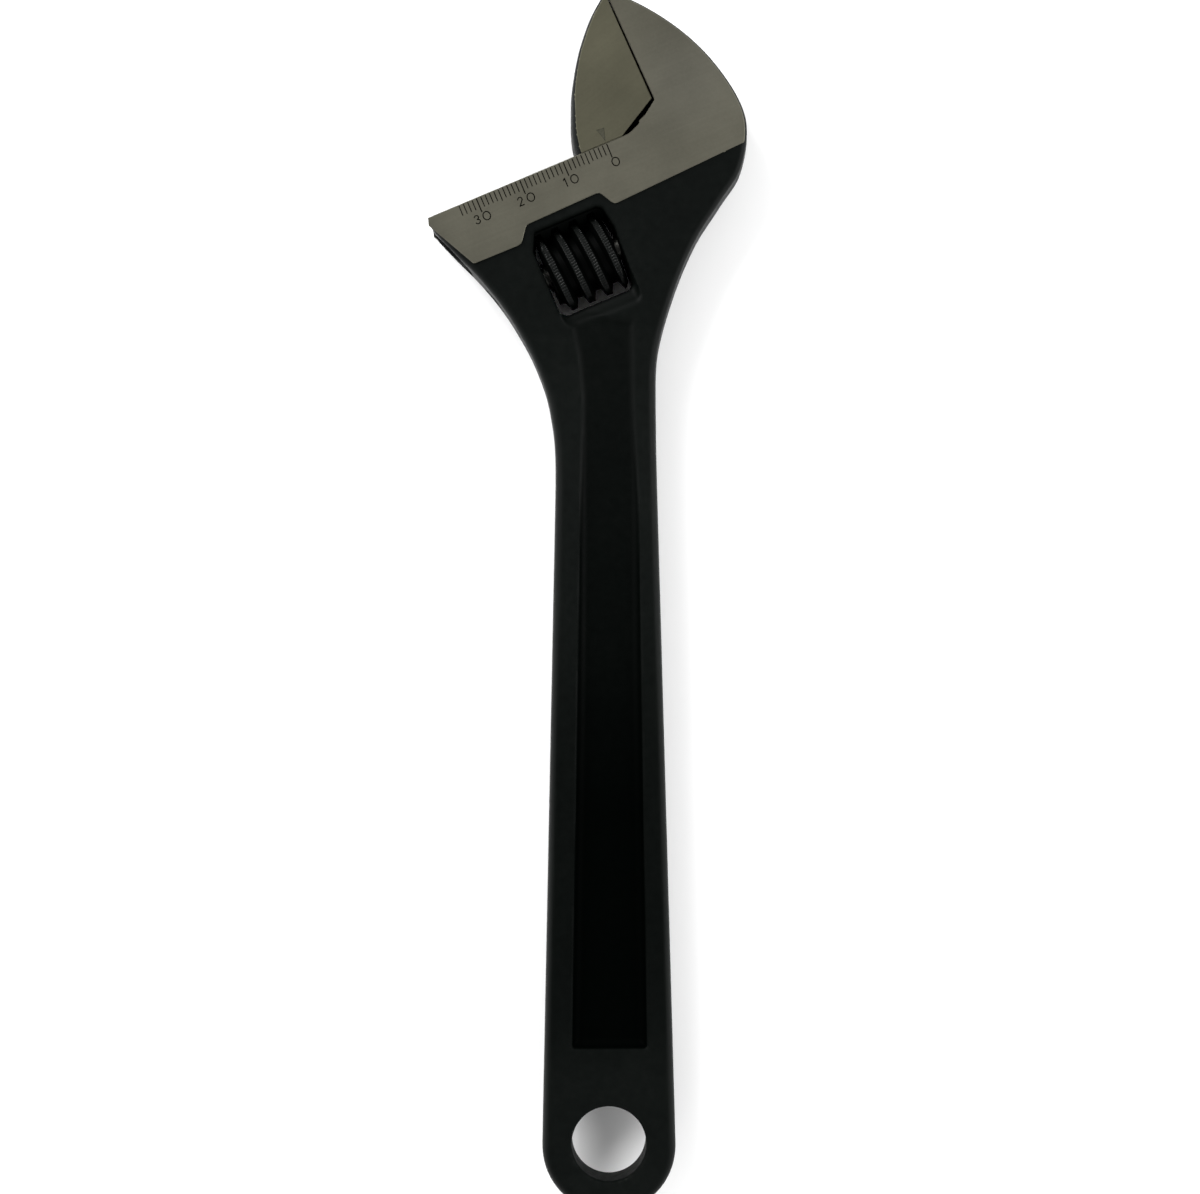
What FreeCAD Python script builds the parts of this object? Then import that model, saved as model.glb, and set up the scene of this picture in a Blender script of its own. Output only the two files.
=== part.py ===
import FreeCAD, Part
import math, os

V = FreeCAD.Vector
os.makedirs("parts", exist_ok=True)

# ---------------------------------------------------------------- dimensions, mm
# Frame: X across the handle, Y along the handle towards the jaws, Z through the thickness.
# The origin is the centre of the hang hole, at half the thickness.
JAW_ANGLE = 22.5            # jaw travel direction, measured from X towards Y
ZERO_X, ZERO_Y = 0.57, 213.6  # the 0 mark of the jaw scale, on the sliding face
HEAD_HALF = 8.0             # ground cheeks of the head at z = +-8
FORGED_HALF = 7.5           # as-forged black surface of the head
HANDLE_END_R = 14.4         # rounded end of the handle
HANDLE_END_Y = -0.7         # centre of that rounding
HANG_HOLE_R = 8.0           # hang hole
HANG_EDGE = 0.6             # chamfer at each end of the hang hole
DRAFT_NEAR, DRAFT_EDGE = 0.40, 1.05   # draft inset just under the edge, and at the rounded edge
EDGE_Z = 6.7                # height where the head's edge rounding starts
JAW_CAPACITY = 34.0         # jaw travel
GRIP_FACE_U = 12.4          # movable jaw's gripping face at the throat, measured from the 0 mark
GRIP_LEAN = 0.59            # both gripping faces lean this far towards the scale at the tip
GRIP_GAP_TIP, GRIP_GAP_THROAT = 0.32, 0.45
TIP_V, THROAT_V = 30.2, 5.05
STEM_V, STEM_R, BORE_R = -7.8, 6.20, 6.28     # round stem of the movable jaw and its bore
STEM_U0, STEM_U1, BORE_END = -24.0, 24.0, 24.6
NECK_HALF, CHANNEL_HALF = 3.40, 3.47          # neck of the movable jaw and its channel
NECK_U0, NECK_U1, CHANNEL_END = -7.2, 3.5, 4.1
WORM_V, WORM_R, WORM_ROOT_R = -20.6, 8.5, 6.5
WORM_U0, WORM_U1 = -22.1, -6.9
WORM_PITCH = 4.1            # right-handed, single start
WORM_CREST, WORM_FLANK = 1.30, 20.0           # crest width, flank angle in degrees
WORM_CREST_U = -12.45       # a crest passes here on the worm's front line (towards +Z)
MESH_PLAY = 0.20            # play on each flank between worm and rack
PIN_R, PIN_BORE_R = 2.40, 2.45
PIN_U0, PIN_U1 = -34.3, -2.0
PIN_HEAD_R, PIN_HEAD_U1 = 2.90, -28.6
WINDOW_U0, WINDOW_U1, WINDOW_V0, WINDOW_V1, WINDOW_R = -23.1, -5.8, -29.9, -11.6, 2.2
SPRING_WIRE_R, SPRING_R, SPRING_TURNS = 0.30, 2.95, 3.5
WORM_POCKET_R, WORM_POCKET = 3.70, 3.2        # counterbore in the worm for the spring

CA, SA = math.cos(math.radians(JAW_ANGLE)), math.sin(math.radians(JAW_ANGLE))


def xy(u, v, z=0.0):
    """A point given along (u) and square to (v) the jaw travel, in the part's own frame."""
    return V(ZERO_X + u * CA - v * SA, ZERO_Y + u * SA + v * CA, z)


def flat_wire(points):
    return Part.makePolygon(list(points) + [points[0]])


def prism(points, z0, z1):
    """A straight-sided solid over a closed outline of (x, y) points."""
    face = Part.Face(flat_wire([V(p[0], p[1], z0) for p in points]))
    return face.extrude(V(0, 0, z1 - z0))


def uv_prism(points, z0, z1):
    return prism([(xy(u, v).x, xy(u, v).y) for u, v in points], z0, z1)


def rounded(points, radii, steps=6):
    """A polygon with its corners rounded off, as (a, b) points."""
    out = []
    n = len(points)
    for i in range(n):
        p, r = points[i], radii[i]
        a, b = points[i - 1], points[(i + 1) % n]
        if r <= 0:
            out.append(p)
            continue
        d1 = (a[0] - p[0], a[1] - p[1]); l1 = math.hypot(*d1); d1 = (d1[0] / l1, d1[1] / l1)
        d2 = (b[0] - p[0], b[1] - p[1]); l2 = math.hypot(*d2); d2 = (d2[0] / l2, d2[1] / l2)
        half = math.acos(max(-1, min(1, d1[0] * d2[0] + d1[1] * d2[1]))) / 2
        t = min(r / math.tan(half), 0.49 * l1, 0.49 * l2)
        r = t * math.tan(half)
        m = (d1[0] + d2[0], d1[1] + d2[1]); lm = math.hypot(*m)
        c = (p[0] + m[0] / lm * r / math.sin(half), p[1] + m[1] / lm * r / math.sin(half))
        s = (p[0] + d1[0] * t, p[1] + d1[1] * t)
        e = (p[0] + d2[0] * t, p[1] + d2[1] * t)
        a0 = math.atan2(s[1] - c[1], s[0] - c[0])
        a1 = math.atan2(e[1] - c[1], e[0] - c[0])
        da = (a1 - a0 + math.pi) % (2 * math.pi) - math.pi
        out.append(("arc", s, (c[0] + r * math.cos(a0 + da / 2), c[1] + r * math.sin(a0 + da / 2)), e))
    return out


def rounded_face(points, radii, place, z=0.0):
    """A face whose outline is a polygon with true arcs at its corners. place maps (a, b) to a 3-D point."""
    items = rounded(points, radii)
    edges, last, first = [], None, None
    for it in items:
        if it[0] == "arc":
            s, m, e = (place(*q) for q in it[1:])
            if last is not None and last.distanceToPoint(s) > 1e-7:
                edges.append(Part.makeLine(last, s))
            edges.append(Part.Arc(s, m, e).toShape())
            first = first or s
            last = e
        else:
            q = place(*it)
            if last is not None and last.distanceToPoint(q) > 1e-7:
                edges.append(Part.makeLine(last, q))
            first = first or q
            last = q
    if last.distanceToPoint(first) > 1e-7:
        edges.append(Part.makeLine(last, first))
    return Part.Face(Part.Wire(edges))


def cyl_u(r, u0, u1, v, z=0.0):
    """A cylinder along the jaw travel."""
    return Part.makeCylinder(r, u1 - u0, xy(u0, v, z), V(CA, SA, 0))


# ---------------------------------------------------------------- outlines
def spline_points(points, n, t0=None, t1=None):
    """Evenly spaced points along a smooth curve through the given ones, with the left-hand normals."""
    c = Part.BSplineCurve()
    args = {"Points": [V(x, y, 0) for x, y in points]}
    if t0:
        args["InitialTangent"] = V(t0[0], t0[1], 0)
        args["FinalTangent"] = V(t1[0], t1[1], 0)
    c.interpolate(**args)
    out = []
    for q in c.discretize(Number=n):
        t = V(*c.tangent(c.parameter(q))[0])
        out.append((q.x, q.y, -t.y, t.x))
    return out


def line_points(a, b):
    t = (b[0] - a[0], b[1] - a[1]); l = math.hypot(*t)
    n = (-t[1] / l, t[0] / l)
    return [(a[0], a[1], *n), (b[0], b[1], *n)]


def inset_segments(segments, d):
    """Each segment moved d to its left, with the shared corners mitred."""
    out = []
    for i, seg in enumerate(segments):
        pts = [[x + nx * d, y + ny * d] for x, y, nx, ny in seg]
        for end, other in ((0, segments[i - 1][-1]), (-1, segments[(i + 1) % len(segments)][0])):
            x, y, nx, ny = seg[end]
            ox, oy = other[2], other[3]
            k = d / (1 + nx * ox + ny * oy)
            pts[end] = [x + (nx + ox) * k, y + (ny + oy) * k]
        out.append(pts)
    return out


def segment_wire(segments, z):
    edges = []
    for pts in segments:
        q = [V(x, y, z) for x, y in pts]
        if len(q) == 2:
            edges.append(Part.makeLine(*q))
        else:
            c = Part.BSplineCurve()
            c.interpolate(Points=q)
            edges.append(c.toShape())
    return Part.Wire(edges)


def stack(segments, levels):
    """A forged blank: the outline at several heights, each with its own inset, joined by straight sides."""
    return Part.makeLoft([segment_wire(inset_segments(segments, d), z) for z, d in levels], True, True)


NECK_Y = 138.0
NECK_X, NECK_X_LEFT = 11.15, 10.95


def tangent_angle(neck_x):
    """Where the straight side of the handle runs into its rounded end, as an angle above X."""
    reach = math.hypot(neck_x, NECK_Y - HANDLE_END_Y)
    return math.asin(HANDLE_END_R / reach) - math.atan2(neck_x, NECK_Y - HANDLE_END_Y)


angle_right, angle_left = tangent_angle(NECK_X), tangent_angle(NECK_X_LEFT)


def on_end(a):
    return (HANDLE_END_R * math.cos(a), HANDLE_END_Y + HANDLE_END_R * math.sin(a))


tip = xy(13.4, 30.9)
right_curve = [
    (tip.x, tip.y), (3.34, 245.89), (6.54, 244.34), (13.77, 240.15), (19.3, 235.78), (23.41, 231.48), (26.6, 227.23),
    (29.15, 222.85), (30.59, 218.4), (30.65, 214.17), (30.04, 210.58), (28.75, 206.77), (26.16, 202.92), (23.24, 198.58),
    (20.41, 194.29), (18.22, 190.04), (16.34, 185.71), (14.76, 181.44), (13.36, 177.15), (12.13, 172.76), (11.23, 168.18),
    (10.92, 163.9), (10.88, 159.6), (10.92, 151.0), (NECK_X, NECK_Y),
]
left_curve = [
    (-NECK_X_LEFT, NECK_Y), (-10.9, 146.7), (-11.14, 151.0), (-11.75, 155.3), (-12.65, 159.7), (-14.1, 164.0),
    (-15.9, 168.3), (-18.32, 172.83), (-21.02, 177.22), (-24.26, 181.57), (-28.07, 185.95), (-32.42, 190.29), (-36.35, 194.47),
]
end_top = xy(-41.25, 2.0)
corner = (-37.45, 196.6)
turn = -math.pi - angle_right - angle_left
arc = [on_end(a) + (-math.cos(a), -math.sin(a)) for a in [angle_right + turn * i / 24 for i in range(25)]]
step_in = xy(10.6, 2.0)
tip_in = xy(10.6, 31.2)
# The outline runs clockwise, so its inside is on the right; the normals are turned to suit.
segments = [
    spline_points(right_curve, 60),
    line_points((NECK_X, NECK_Y), on_end(angle_right)),
    None,
    line_points(on_end(math.pi - angle_left), (-NECK_X_LEFT, NECK_Y)),
    spline_points(left_curve, 30),
    line_points((-36.35, 194.47), corner),
    line_points(corner, (end_top.x, end_top.y)),
    line_points((end_top.x, end_top.y), (step_in.x, step_in.y)),
    line_points((step_in.x, step_in.y), (tip_in.x, tip_in.y)),
    line_points((tip_in.x, tip_in.y), (tip.x, tip.y)),
]
segments = [[(x, y, -nx, -ny) for x, y, nx, ny in s] if s else arc for s in segments]

# ---------------------------------------------------------------- body
FAR = 80.0
blank = stack(segments, [(-FORGED_HALF, DRAFT_EDGE), (-EDGE_Z, DRAFT_NEAR), (0, 0), (EDGE_Z, DRAFT_NEAR),
                         (FORGED_HALF, DRAFT_EDGE)])

# Thickness along the handle, half of it, from the hang hole end to the head.
EYE_HALF, EYE_Y = 4.4, 13.0      # flat eye around the hang hole
thick = [(EYE_Y, EYE_HALF), (30.0, 4.55), (60.0, 4.85), (120.0, 5.35), (146.0, 5.6), (160.0, 6.1), (172.0, 6.9), (181.0, 7.7), (188.0, 9.5)]


def side_edge(sign):
    c = Part.BSplineCurve()
    c.interpolate(Points=[V(0, y, sign * z) for y, z in thick], InitialTangent=V(0, 1, 0), FinalTangent=V(0, 1, sign * 0.35))
    return c


top, bottom = side_edge(1), side_edge(-1)
side = Part.Wire([
    top.toShape(),
    Part.makeLine(V(0, 188, 9.5), V(0, 260, 9.5)), Part.makeLine(V(0, 260, 9.5), V(0, 260, -9.5)),
    Part.makeLine(V(0, 260, -9.5), V(0, 188, -9.5)), bottom.toShape(),
    Part.makeLine(V(0, EYE_Y, -EYE_HALF), V(0, -20, -EYE_HALF)), Part.makeLine(V(0, -20, -EYE_HALF), V(0, -20, EYE_HALF)),
    Part.makeLine(V(0, -20, EYE_HALF), V(0, EYE_Y, EYE_HALF)),
])
side_solid = Part.Face(side).extrude(V(2 * FAR, 0, 0))
side_solid.translate(V(-FAR, 0, 0))
body = blank.common(side_solid)
print("blank", body.isValid(), len(body.Solids), round(body.Volume))


def top_edges(shape):
    """The long edges between the handle's faces and its sides, up to the head."""
    found = []
    for e in shape.Edges:
        b = e.BoundBox
        if b.YMax > 183.5 or b.ZLength > 4.5:
            continue
        mid = e.valueAt((e.FirstParameter + e.LastParameter) / 2)
        if abs(mid.z) > 4.0 and e.Length > 2 and (abs(mid.x) > 8 or mid.y < -5):
            found.append(e)
    return found


for r in (1.5, 1.2, 0.9):
    try:
        soft = body.makeFillet(r, top_edges(body))
        if soft.isValid() and len(soft.Solids) == 1:
            body = soft
            print("handle edges rounded", r)
            break
    except Exception as e:
        print("no round", r, str(e)[:80])

# Ground cheeks: raised by half a millimetre over the forged surface.
cheek_zone = [(-60, 5), (-60, -1.0), (-41.9, -1.0), (-36.1, -12.75), (-25.65, -12.85), (-24.5, -12.1), (-22.7, -9.9), (-22.0, -9.4),
              (-6.0, -9.1), (-5.2, -9.4), (-3.9, -11.9), (-3.0, -12.6), (40.0, -10.9), (40, 60), (-60, 60)]
cheek_radii = [0, 0, 1.0, 1.2, 0.8, 0.8, 1.0, 1.0, 1.0, 1.0, 1.0, 1.0, 0, 0, 0]
cheek_zone_face = rounded_face(cheek_zone, cheek_radii, lambda u, v: xy(u, v, -10))
outline_prism = Part.Face(segment_wire(inset_segments(segments, 0.85), -HEAD_HALF)).extrude(V(0, 0, 2 * HEAD_HALF))
cheeks = outline_prism.common(cheek_zone_face.extrude(V(0, 0, 20)))
body = body.fuse(cheeks)
print("cheeks", body.isValid(), len(body.Solids), round(body.Volume))

# Machined jaw mouth: sliding face, throat relief and the fixed gripping face.
u_tip, u_throat = GRIP_FACE_U - GRIP_LEAN + GRIP_GAP_TIP, GRIP_FACE_U + GRIP_GAP_THROAT
mouth = [(-60, 0), (3.6, 0), (5.03, 0.05), (6.02, 0.35), (7.06, 0.78), (7.92, 1.25), (8.05, 1.68), (9.78, 2.4), (u_throat, THROAT_V - 0.45), (u_tip, TIP_V), (u_tip, 60), (-60, 60)]
mouth_face = rounded_face(mouth, [0] * 8 + [0.35, 0, 0, 0], lambda u, v: xy(u, v, -12))
body = body.cut(mouth_face.extrude(V(0, 0, 24)))
# Blunt tip of the fixed jaw.
body = body.cut(uv_prism([(5, TIP_V), (30, TIP_V - 2.2), (30, 60), (5, 60)], -12, 12))

# Bore and channel for the movable jaw's stem and neck, open at the left end of the head.
body = body.cut(cyl_u(BORE_R, -60, BORE_END, STEM_V))
body = body.cut(uv_prism([(-60, STEM_V), (CHANNEL_END, STEM_V), (CHANNEL_END, 5), (-60, 5)], -CHANNEL_HALF, CHANNEL_HALF))

# Worm window, through the head, with a thumb relief along its handle side on both cheeks.
win = [(WINDOW_U0, WINDOW_V0), (WINDOW_U1, WINDOW_V0), (WINDOW_U1, WINDOW_V1), (WINDOW_U0, WINDOW_V1)]
window = rounded_face(win, [WINDOW_R] * 4, lambda u, v: xy(u, v, -12)).extrude(V(0, 0, 24))
body = body.cut(window)
for s in (1, -1):
    relief = Part.makeCylinder(9.0, WINDOW_U1 - WINDOW_U0 - 1.0, xy(WINDOW_U0 + 0.5, WINDOW_V0 + 3.2, s * (FORGED_HALF + 6.0)), V(CA, SA, 0))
    body = body.cut(relief)

# Pin hole: right through the left wall, blind in the right wall.
body = body.cut(cyl_u(PIN_BORE_R, -45, PIN_U1 + 0.8, WORM_V))
body = body.cut(cyl_u(PIN_HEAD_R + 0.02, -45, PIN_HEAD_U1, WORM_V))

# Hang hole.
body = body.cut(Part.makeCylinder(HANG_HOLE_R, 30, V(0, 0, -15), V(0, 0, 1)))
for s in (1, -1):
    reach = HANG_EDGE + 1.0
    cone = Part.makeCone(HANG_HOLE_R, HANG_HOLE_R + reach, reach, V(0, 0, s * (EYE_HALF - HANG_EDGE)), V(0, 0, s))
    body = body.cut(cone)
print("holes", body.isValid(), len(body.Solids), round(body.Volume))

# Recessed panel on each face of the handle, deep at the hang hole end and running out towards the head.
panel = [(-7.9, 20.4), (8.35, 20.4), (6.95, 137.0), (6.2, 158.0), (6.0, 176.0), (-8.0, 178.5), (-5.9, 168.5), (-5.1, 160.0), (-5.25, 148.0)]
panel_radii = [0.8, 0.8, 40, 20, 2.5, 2.5, 10, 10, 40]


def panel_floor():
    c = Part.BSplineCurve()
    c.interpolate(Points=[V(0, y, z) for y, z in [(10, 2.25), (22, 2.3), (60, 2.6), (100, 3.1), (130, 4.0), (150, 5.0), (165, 5.9), (176, 6.7), (182, 7.3), (190, 8.0)]])
    return c


floor = Part.Wire([panel_floor().toShape(), Part.makeLine(V(0, 190, 8.0), V(0, 190, 14)), Part.makeLine(V(0, 190, 14), V(0, 10, 14)),
                   Part.makeLine(V(0, 10, 14), V(0, 10, 2.25))])
above_floor = Part.Face(floor).extrude(V(60, 0, 0))
above_floor.translate(V(-30, 0, 0))


def panel_wire(d, z):
    """The panel's outline, d larger on every side."""
    cx = 0.0
    pts = []
    n = len(panel)
    for i, p in enumerate(panel):
        a, b = panel[i - 1], panel[(i + 1) % n]
        e1 = (p[0] - a[0], p[1] - a[1]); l1 = math.hypot(*e1)
        e2 = (b[0] - p[0], b[1] - p[1]); l2 = math.hypot(*e2)
        n1 = (e1[1] / l1, -e1[0] / l1); n2 = (e2[1] / l2, -e2[0] / l2)
        k = d / (1 + n1[0] * n2[0] + n1[1] * n2[1])
        pts.append((p[0] + (n1[0] + n2[0]) * k, p[1] + (n1[1] + n2[1]) * k))
    return rounded_face(pts, panel_radii, lambda x, y: V(x, y, z)).OuterWire


pocket = Part.makeLoft([panel_wire(-0.9, 1.5), panel_wire(0.55, 8.5)], True, True).common(above_floor)
print("pocket", pocket.isValid(), round(pocket.Volume))
body = body.cut(pocket)
flip = pocket.mirror(V(0, 0, 0), V(0, 0, 1))
body = body.cut(flip)
print("panel", body.isValid(), len(body.Solids), round(body.Volume))
if len(body.Solids) > 1:
    body = max(body.Solids, key=lambda s: s.Volume)

# ---------------------------------------------------------------- movable jaw
jaw_side = [(12.6, 31.2), (11.35, 29.85), (10.14, 28.9), (7.22, 26.54), (4.18, 23.39), (1.43, 20.03), (-0.92, 16.42), (-3.01, 12.76), (-4.7, 8.95),
            (-6.25, 5.05), (-7.2, 1.0), (-7.4, -1.5)]
jaw_side_xy = [(xy(u, v).x, xy(u, v).y) for u, v in jaw_side]
j_low0, j_low1, j_top = xy(-7.4, -1.5), xy(15.0, -1.5), xy(15.0, 31.2)
jaw_segments = [
    spline_points(jaw_side_xy, 30),
    line_points((j_low0.x, j_low0.y), (j_low1.x, j_low1.y)),
    line_points((j_low1.x, j_low1.y), (j_top.x, j_top.y)),
    line_points((j_top.x, j_top.y), jaw_side_xy[0]),
]
jaw = stack(jaw_segments, [(-HEAD_HALF, 1.0), (-EDGE_Z - 0.5, 0.45), (0, 0), (EDGE_Z + 0.5, 0.45), (HEAD_HALF, 1.0)])
keep = uv_prism([(-20, 0.03), (3.4, 0.03), (GRIP_FACE_U, 5.08), (GRIP_FACE_U - GRIP_LEAN, TIP_V), (6.0, TIP_V), (-20, TIP_V - 3.0)], -12, 12)
jaw = jaw.common(keep)
print("jaw", jaw.isValid(), len(jaw.Solids), round(jaw.Volume))
neck = uv_prism([(NECK_U0, STEM_V), (NECK_U1, STEM_V), (NECK_U1, 1.0), (NECK_U0, 1.0)], -NECK_HALF, NECK_HALF)
stem = cyl_u(STEM_R, STEM_U0, STEM_U1, STEM_V)
chamfered = []
for e in stem.Edges:
    if e.Curve.__class__.__name__ == "Circle":
        chamfered.append(e)
stem = stem.makeChamfer(0.6, chamfered)
jaw = jaw.fuse(neck).fuse(stem)
# Rack teeth on the underside of the stem, straight cuts that follow the worm's lead.
tan_f = math.tan(math.radians(WORM_FLANK))
rack_top = WORM_V + WORM_R + 0.25
rack_bottom = STEM_V - STEM_R - 1.0
lead = WORM_PITCH / (2 * math.pi * (WORM_R + WORM_ROOT_R) / 2)
# The worm's crest meets the rack line (towards +v) a quarter turn before its front line.
mesh_u = WORM_CREST_U - WORM_PITCH / 4
cuts = []
k0 = math.floor((STEM_U0 - mesh_u) / WORM_PITCH) - 1
for k in range(k0, k0 + 16):
    uc = mesh_u + k * WORM_PITCH
    if uc < STEM_U0 - 2.5 or uc > STEM_U1 + 2.5:
        continue
    def gap(v):
        """Half the width of the gap between two teeth at height v."""
        below_crest = (WORM_V + WORM_R) - v
        return WORM_CREST / 2 + below_crest * tan_f + MESH_PLAY
    hw_t, hw_b = gap(rack_top), gap(rack_bottom)
    # skewed across z so that the gap follows the thread
    def q(u, v, z):
        return xy(u + lead * z, v, z)
    zz = STEM_R + 1.5
    w0 = Part.makePolygon([q(uc - hw_b, rack_bottom, -zz), q(uc + hw_b, rack_bottom, -zz), q(uc + hw_t, rack_top, -zz), q(uc - hw_t, rack_top, -zz), q(uc - hw_b, rack_bottom, -zz)])
    w1 = Part.makePolygon([q(uc - hw_b, rack_bottom, zz), q(uc + hw_b, rack_bottom, zz), q(uc + hw_t, rack_top, zz), q(uc - hw_t, rack_top, zz), q(uc - hw_b, rack_bottom, zz)])
    cuts.append(Part.makeLoft([w0, w1], True, True))
for c in cuts:
    jaw = jaw.cut(c)
print("jaw rack", jaw.isValid(), len(jaw.Solids), round(jaw.Volume), len(cuts))
if len(jaw.Solids) > 1:
    jaw = max(jaw.Solids, key=lambda s: s.Volume)

# ---------------------------------------------------------------- worm
# Made along +Z from the origin, then laid along the jaw travel: local X becomes v, local Y becomes z.
length = WORM_U1 - WORM_U0
core = Part.makeCylinder(WORM_ROOT_R, length, V(0, 0, 0), V(0, 0, 1))
# The crest's centre at angle 90 (local +Y, the front) lies at WORM_CREST_U, so at angle 0 it is a quarter pitch lower.
crest_0 = WORM_CREST_U - WORM_U0 - WORM_PITCH / 4
start = crest_0 - WORM_PITCH * math.ceil((crest_0 + 1.5 * WORM_PITCH) / WORM_PITCH)
helix = Part.makeHelix(WORM_PITCH, (math.ceil(length / WORM_PITCH) + 3) * WORM_PITCH, WORM_ROOT_R)
helix.translate(V(0, 0, start))
ridge_r0 = WORM_ROOT_R - 0.3
half_crest, half_root = WORM_CREST / 2, WORM_CREST / 2 + (WORM_R - ridge_r0) * tan_f
profile = Part.makePolygon([V(ridge_r0, 0, start - half_root), V(WORM_R, 0, start - half_crest), V(WORM_R, 0, start + half_crest),
                            V(ridge_r0, 0, start + half_root), V(ridge_r0, 0, start - half_root)])
sweep = Part.BRepOffsetAPI.MakePipeShell(Part.Wire(helix.Edges))
sweep.setFrenetMode(True)
sweep.add(Part.Wire(profile.Edges))
sweep.build()
sweep.makeSolid()
limit = Part.makeCylinder(WORM_R + 0.5, length, V(0, 0, 0), V(0, 0, 1))
limit = limit.makeChamfer(1.3, [e for e in limit.Edges if e.Curve.__class__.__name__ == "Circle"])
ridge = sweep.shape().common(limit)
worm = core.fuse(ridge)
worm = worm.cut(Part.makeCylinder(PIN_BORE_R, length + 2, V(0, 0, -1), V(0, 0, 1)))
worm = worm.cut(Part.makeCylinder(WORM_POCKET_R, WORM_POCKET, V(0, 0, 0), V(0, 0, 1)))
print("worm", worm.isValid(), len(worm.Solids), round(worm.Volume))
o = xy(WORM_U0, WORM_V)
lay = FreeCAD.Matrix(-SA, 0, CA, o.x, CA, 0, SA, o.y, 0, 1, 0, o.z, 0, 0, 0, 1)
worm.Placement = FreeCAD.Placement(lay)

# ---------------------------------------------------------------- worm pin
pin = cyl_u(PIN_R, PIN_HEAD_U1 - 0.5, PIN_U1, WORM_V)
tip_edges = [e for e in pin.Edges if e.Curve.__class__.__name__ == "Circle" and e.CenterOfMass.distanceToPoint(xy(PIN_U1, WORM_V)) < 0.2]
pin = pin.makeChamfer(0.5, tip_edges)
head = cyl_u(PIN_HEAD_R, PIN_U0, PIN_HEAD_U1, WORM_V)
head_edges = [e for e in head.Edges if e.Curve.__class__.__name__ == "Circle" and e.CenterOfMass.distanceToPoint(xy(PIN_U0, WORM_V)) < 0.2]
head = head.makeChamfer(0.3, head_edges)
pin = pin.fuse(head)
pin = pin.cut(uv_prism([(PIN_U0 - 1, WORM_V - 0.4), (PIN_U0 + 1.1, WORM_V - 0.4), (PIN_U0 + 1.1, WORM_V + 0.4), (PIN_U0 - 1, WORM_V + 0.4)], -4, 4))
print("pin", pin.isValid(), len(pin.Solids), round(pin.Volume, 1))

# ---------------------------------------------------------------- worm spring
s0 = WINDOW_U0 + SPRING_WIRE_R + 0.02
s1 = WORM_U0 + WORM_POCKET - SPRING_WIRE_R - 0.02
spitch = (s1 - s0) / SPRING_TURNS
coil = Part.BSplineCurve()
coil.interpolate(Points=[V(SPRING_R * math.cos(2 * math.pi * t / 20), SPRING_R * math.sin(2 * math.pi * t / 20), spitch * t / 20)
                         for t in range(int(SPRING_TURNS * 20) + 1)])
along = coil.tangent(coil.FirstParameter)[0]
ring = Part.Wire(Part.makeCircle(SPRING_WIRE_R, coil.value(coil.FirstParameter), along))
sw = Part.BRepOffsetAPI.MakePipeShell(Part.Wire(coil.toShape()))
sw.setFrenetMode(True)
sw.add(ring)
sw.build()
sw.makeSolid()
spring = sw.shape()
o = xy(s0, WORM_V)
spring.Placement = FreeCAD.Placement(FreeCAD.Matrix(-SA, 0, CA, o.x, CA, 0, SA, o.y, 0, 1, 0, o.z, 0, 0, 0, 1))
print("spring", spring.isValid(), round(spring.Volume, 2))

for name, shape in (("body", body), ("movable_jaw", jaw), ("worm", worm), ("worm_pin", pin), ("worm_spring", spring)):
    if shape.ShapeType != "Solid":
        shape = shape.Solids[0]
    b = shape.BoundBox
    print(name, shape.isValid(), "volume", round(shape.Volume, 1), "box", [round(t, 2) for t in (b.XMin, b.XMax, b.YMin, b.YMax, b.ZMin, b.ZMax)], "faces", len(shape.Faces))
    shape.exportStep("parts/%s.step" % name)
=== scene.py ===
import bpy
import math
import numpy as np
from mathutils import Vector, Matrix
from mathutils.geometry import delaunay_2d_cdt


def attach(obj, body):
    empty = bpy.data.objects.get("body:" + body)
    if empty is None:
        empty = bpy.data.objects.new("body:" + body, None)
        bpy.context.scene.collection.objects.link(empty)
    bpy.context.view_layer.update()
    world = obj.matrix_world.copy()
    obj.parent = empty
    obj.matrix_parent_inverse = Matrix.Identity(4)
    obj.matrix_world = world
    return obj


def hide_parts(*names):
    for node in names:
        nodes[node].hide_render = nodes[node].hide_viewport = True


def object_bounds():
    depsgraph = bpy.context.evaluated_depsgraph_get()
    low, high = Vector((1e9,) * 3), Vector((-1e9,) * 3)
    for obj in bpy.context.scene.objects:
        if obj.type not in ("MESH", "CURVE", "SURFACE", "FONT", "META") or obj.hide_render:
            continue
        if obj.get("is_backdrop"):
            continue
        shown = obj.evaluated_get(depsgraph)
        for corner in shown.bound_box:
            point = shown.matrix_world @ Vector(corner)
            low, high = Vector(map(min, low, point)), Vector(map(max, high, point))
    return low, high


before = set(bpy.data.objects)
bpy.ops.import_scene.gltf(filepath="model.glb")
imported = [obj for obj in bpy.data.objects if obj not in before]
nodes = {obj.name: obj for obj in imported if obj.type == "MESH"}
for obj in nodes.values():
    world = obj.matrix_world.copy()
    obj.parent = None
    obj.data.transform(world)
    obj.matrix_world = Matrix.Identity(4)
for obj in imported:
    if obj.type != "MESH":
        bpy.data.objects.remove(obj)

cad_box = [list(map(float, c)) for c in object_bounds()]

# Everything below is in millimetres in the part's frame until a mesh is made.
MM = 0.001
JAW_ANGLE = math.radians(22.5)
CA, SA = math.cos(JAW_ANGLE), math.sin(JAW_ANGLE)
ZERO_X, ZERO_Y = 0.57, 213.6


def to_xy(u, v):
    return ZERO_X + u * CA - v * SA, ZERO_Y + u * SA + v * CA


def to_uv(x, y):
    dx, dy = x - ZERO_X, y - ZERO_Y
    return dx * CA + dy * SA, -dx * SA + dy * CA


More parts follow.
